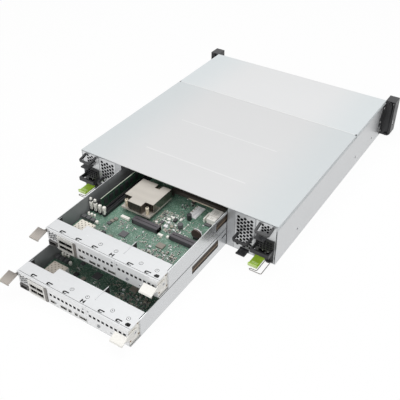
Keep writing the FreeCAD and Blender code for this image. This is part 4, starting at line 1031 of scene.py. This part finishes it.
# Stage: a plain pale floor under soft studio light, seen from the rear right and above. The camera, metal and
# glass see floor and sky white, while the object is lit at a plain level.
EYE, AIM = (0.5485, -1.0120, 0.7766), (-0.0036, -0.160, -0.0143)
stage_mesh = bpy.data.meshes.new("floor")
bm = bmesh.new()
bmesh.ops.create_grid(bm, x_segments=1, y_segments=1, size=12.0)
bm.to_mesh(stage_mesh)
bm.free()
floor = bpy.data.objects.new("floor", stage_mesh)
bpy.context.scene.collection.objects.link(floor)


def seen(tree):
    """One where the camera, a reflection or glass sees the surface, nought where it only lights."""
    path = node(tree, "ShaderNodeLightPath").outputs
    first = sums(tree, "MAXIMUM", path["Is Camera Ray"], path["Is Glossy Ray"])
    return sums(tree, "MAXIMUM", first, path["Is Transmission Ray"])


def aimed(place, target):
    """Turn of a lamp or camera that looks from a place at a target."""
    return (Vector(target) - Vector(place)).to_track_quat("-Z", "Y").to_euler()


floor_paint = bpy.data.materials.new("floor_paint")
floor_paint.use_nodes = True
tree = floor_paint.node_tree
tree.nodes.clear()
shown = seen(tree)
matt = node(tree, "ShaderNodeBsdfDiffuse", {"Color": remap(tree, shown, 0.65, 0.97)})
white = node(tree, "ShaderNodeEmission", {"Color": (1, 1, 1, 1), "Strength": 1.0})
share = sums(tree, "MULTIPLY", shown, 0.94)
mixed = node(tree, "ShaderNodeMixShader", {0: share, 1: matt.outputs[0], 2: white.outputs[0]})
node(tree, "ShaderNodeOutputMaterial", {"Surface": mixed.outputs[0]})
floor.data.materials.append(floor_paint)

world = bpy.data.worlds.new("studio")
bpy.context.scene.world = world
world.use_nodes = True
tree = world.node_tree
tree.nodes.clear()
strength = remap(tree, seen(tree), 0.25, 1.0)
sky = node(tree, "ShaderNodeBackground", {"Color": (1, 1, 1, 1), "Strength": strength})
node(tree, "ShaderNodeOutputWorld", {"Surface": sky.outputs[0]})


def softbox(name, place, target, size, power):
    """Rectangular lamp; power in watts."""
    lamp = bpy.data.lights.new(name, "AREA")
    lamp.shape = "RECTANGLE"
    lamp.size, lamp.size_y = size
    lamp.energy = power
    made = bpy.data.objects.new(name, lamp)
    made.location = place
    made.rotation_euler = aimed(place, target)
    bpy.context.scene.collection.objects.link(made)


softbox("overhead", (0.0, 0.15, 2.1), (0, -0.15, 0), (2.4, 2.0), 33)
softbox("rear_fill", (0.2, -2.3, 1.3), (0, -0.3, 0), (1.8, 0.9), 21)
softbox("side_fill", (2.2, -0.6, 0.8), (0, -0.1, 0), (1.6, 0.9), 8)

lens = bpy.data.cameras.new("camera")
lens.lens = 56.83
lens.sensor_width = 36.0
camera = bpy.data.objects.new("camera", lens)
camera.location = EYE
camera.rotation_euler = aimed(EYE, AIM)
bpy.context.scene.collection.objects.link(camera)
bpy.context.scene.camera = camera
bpy.context.scene.view_settings.view_transform = "Standard"
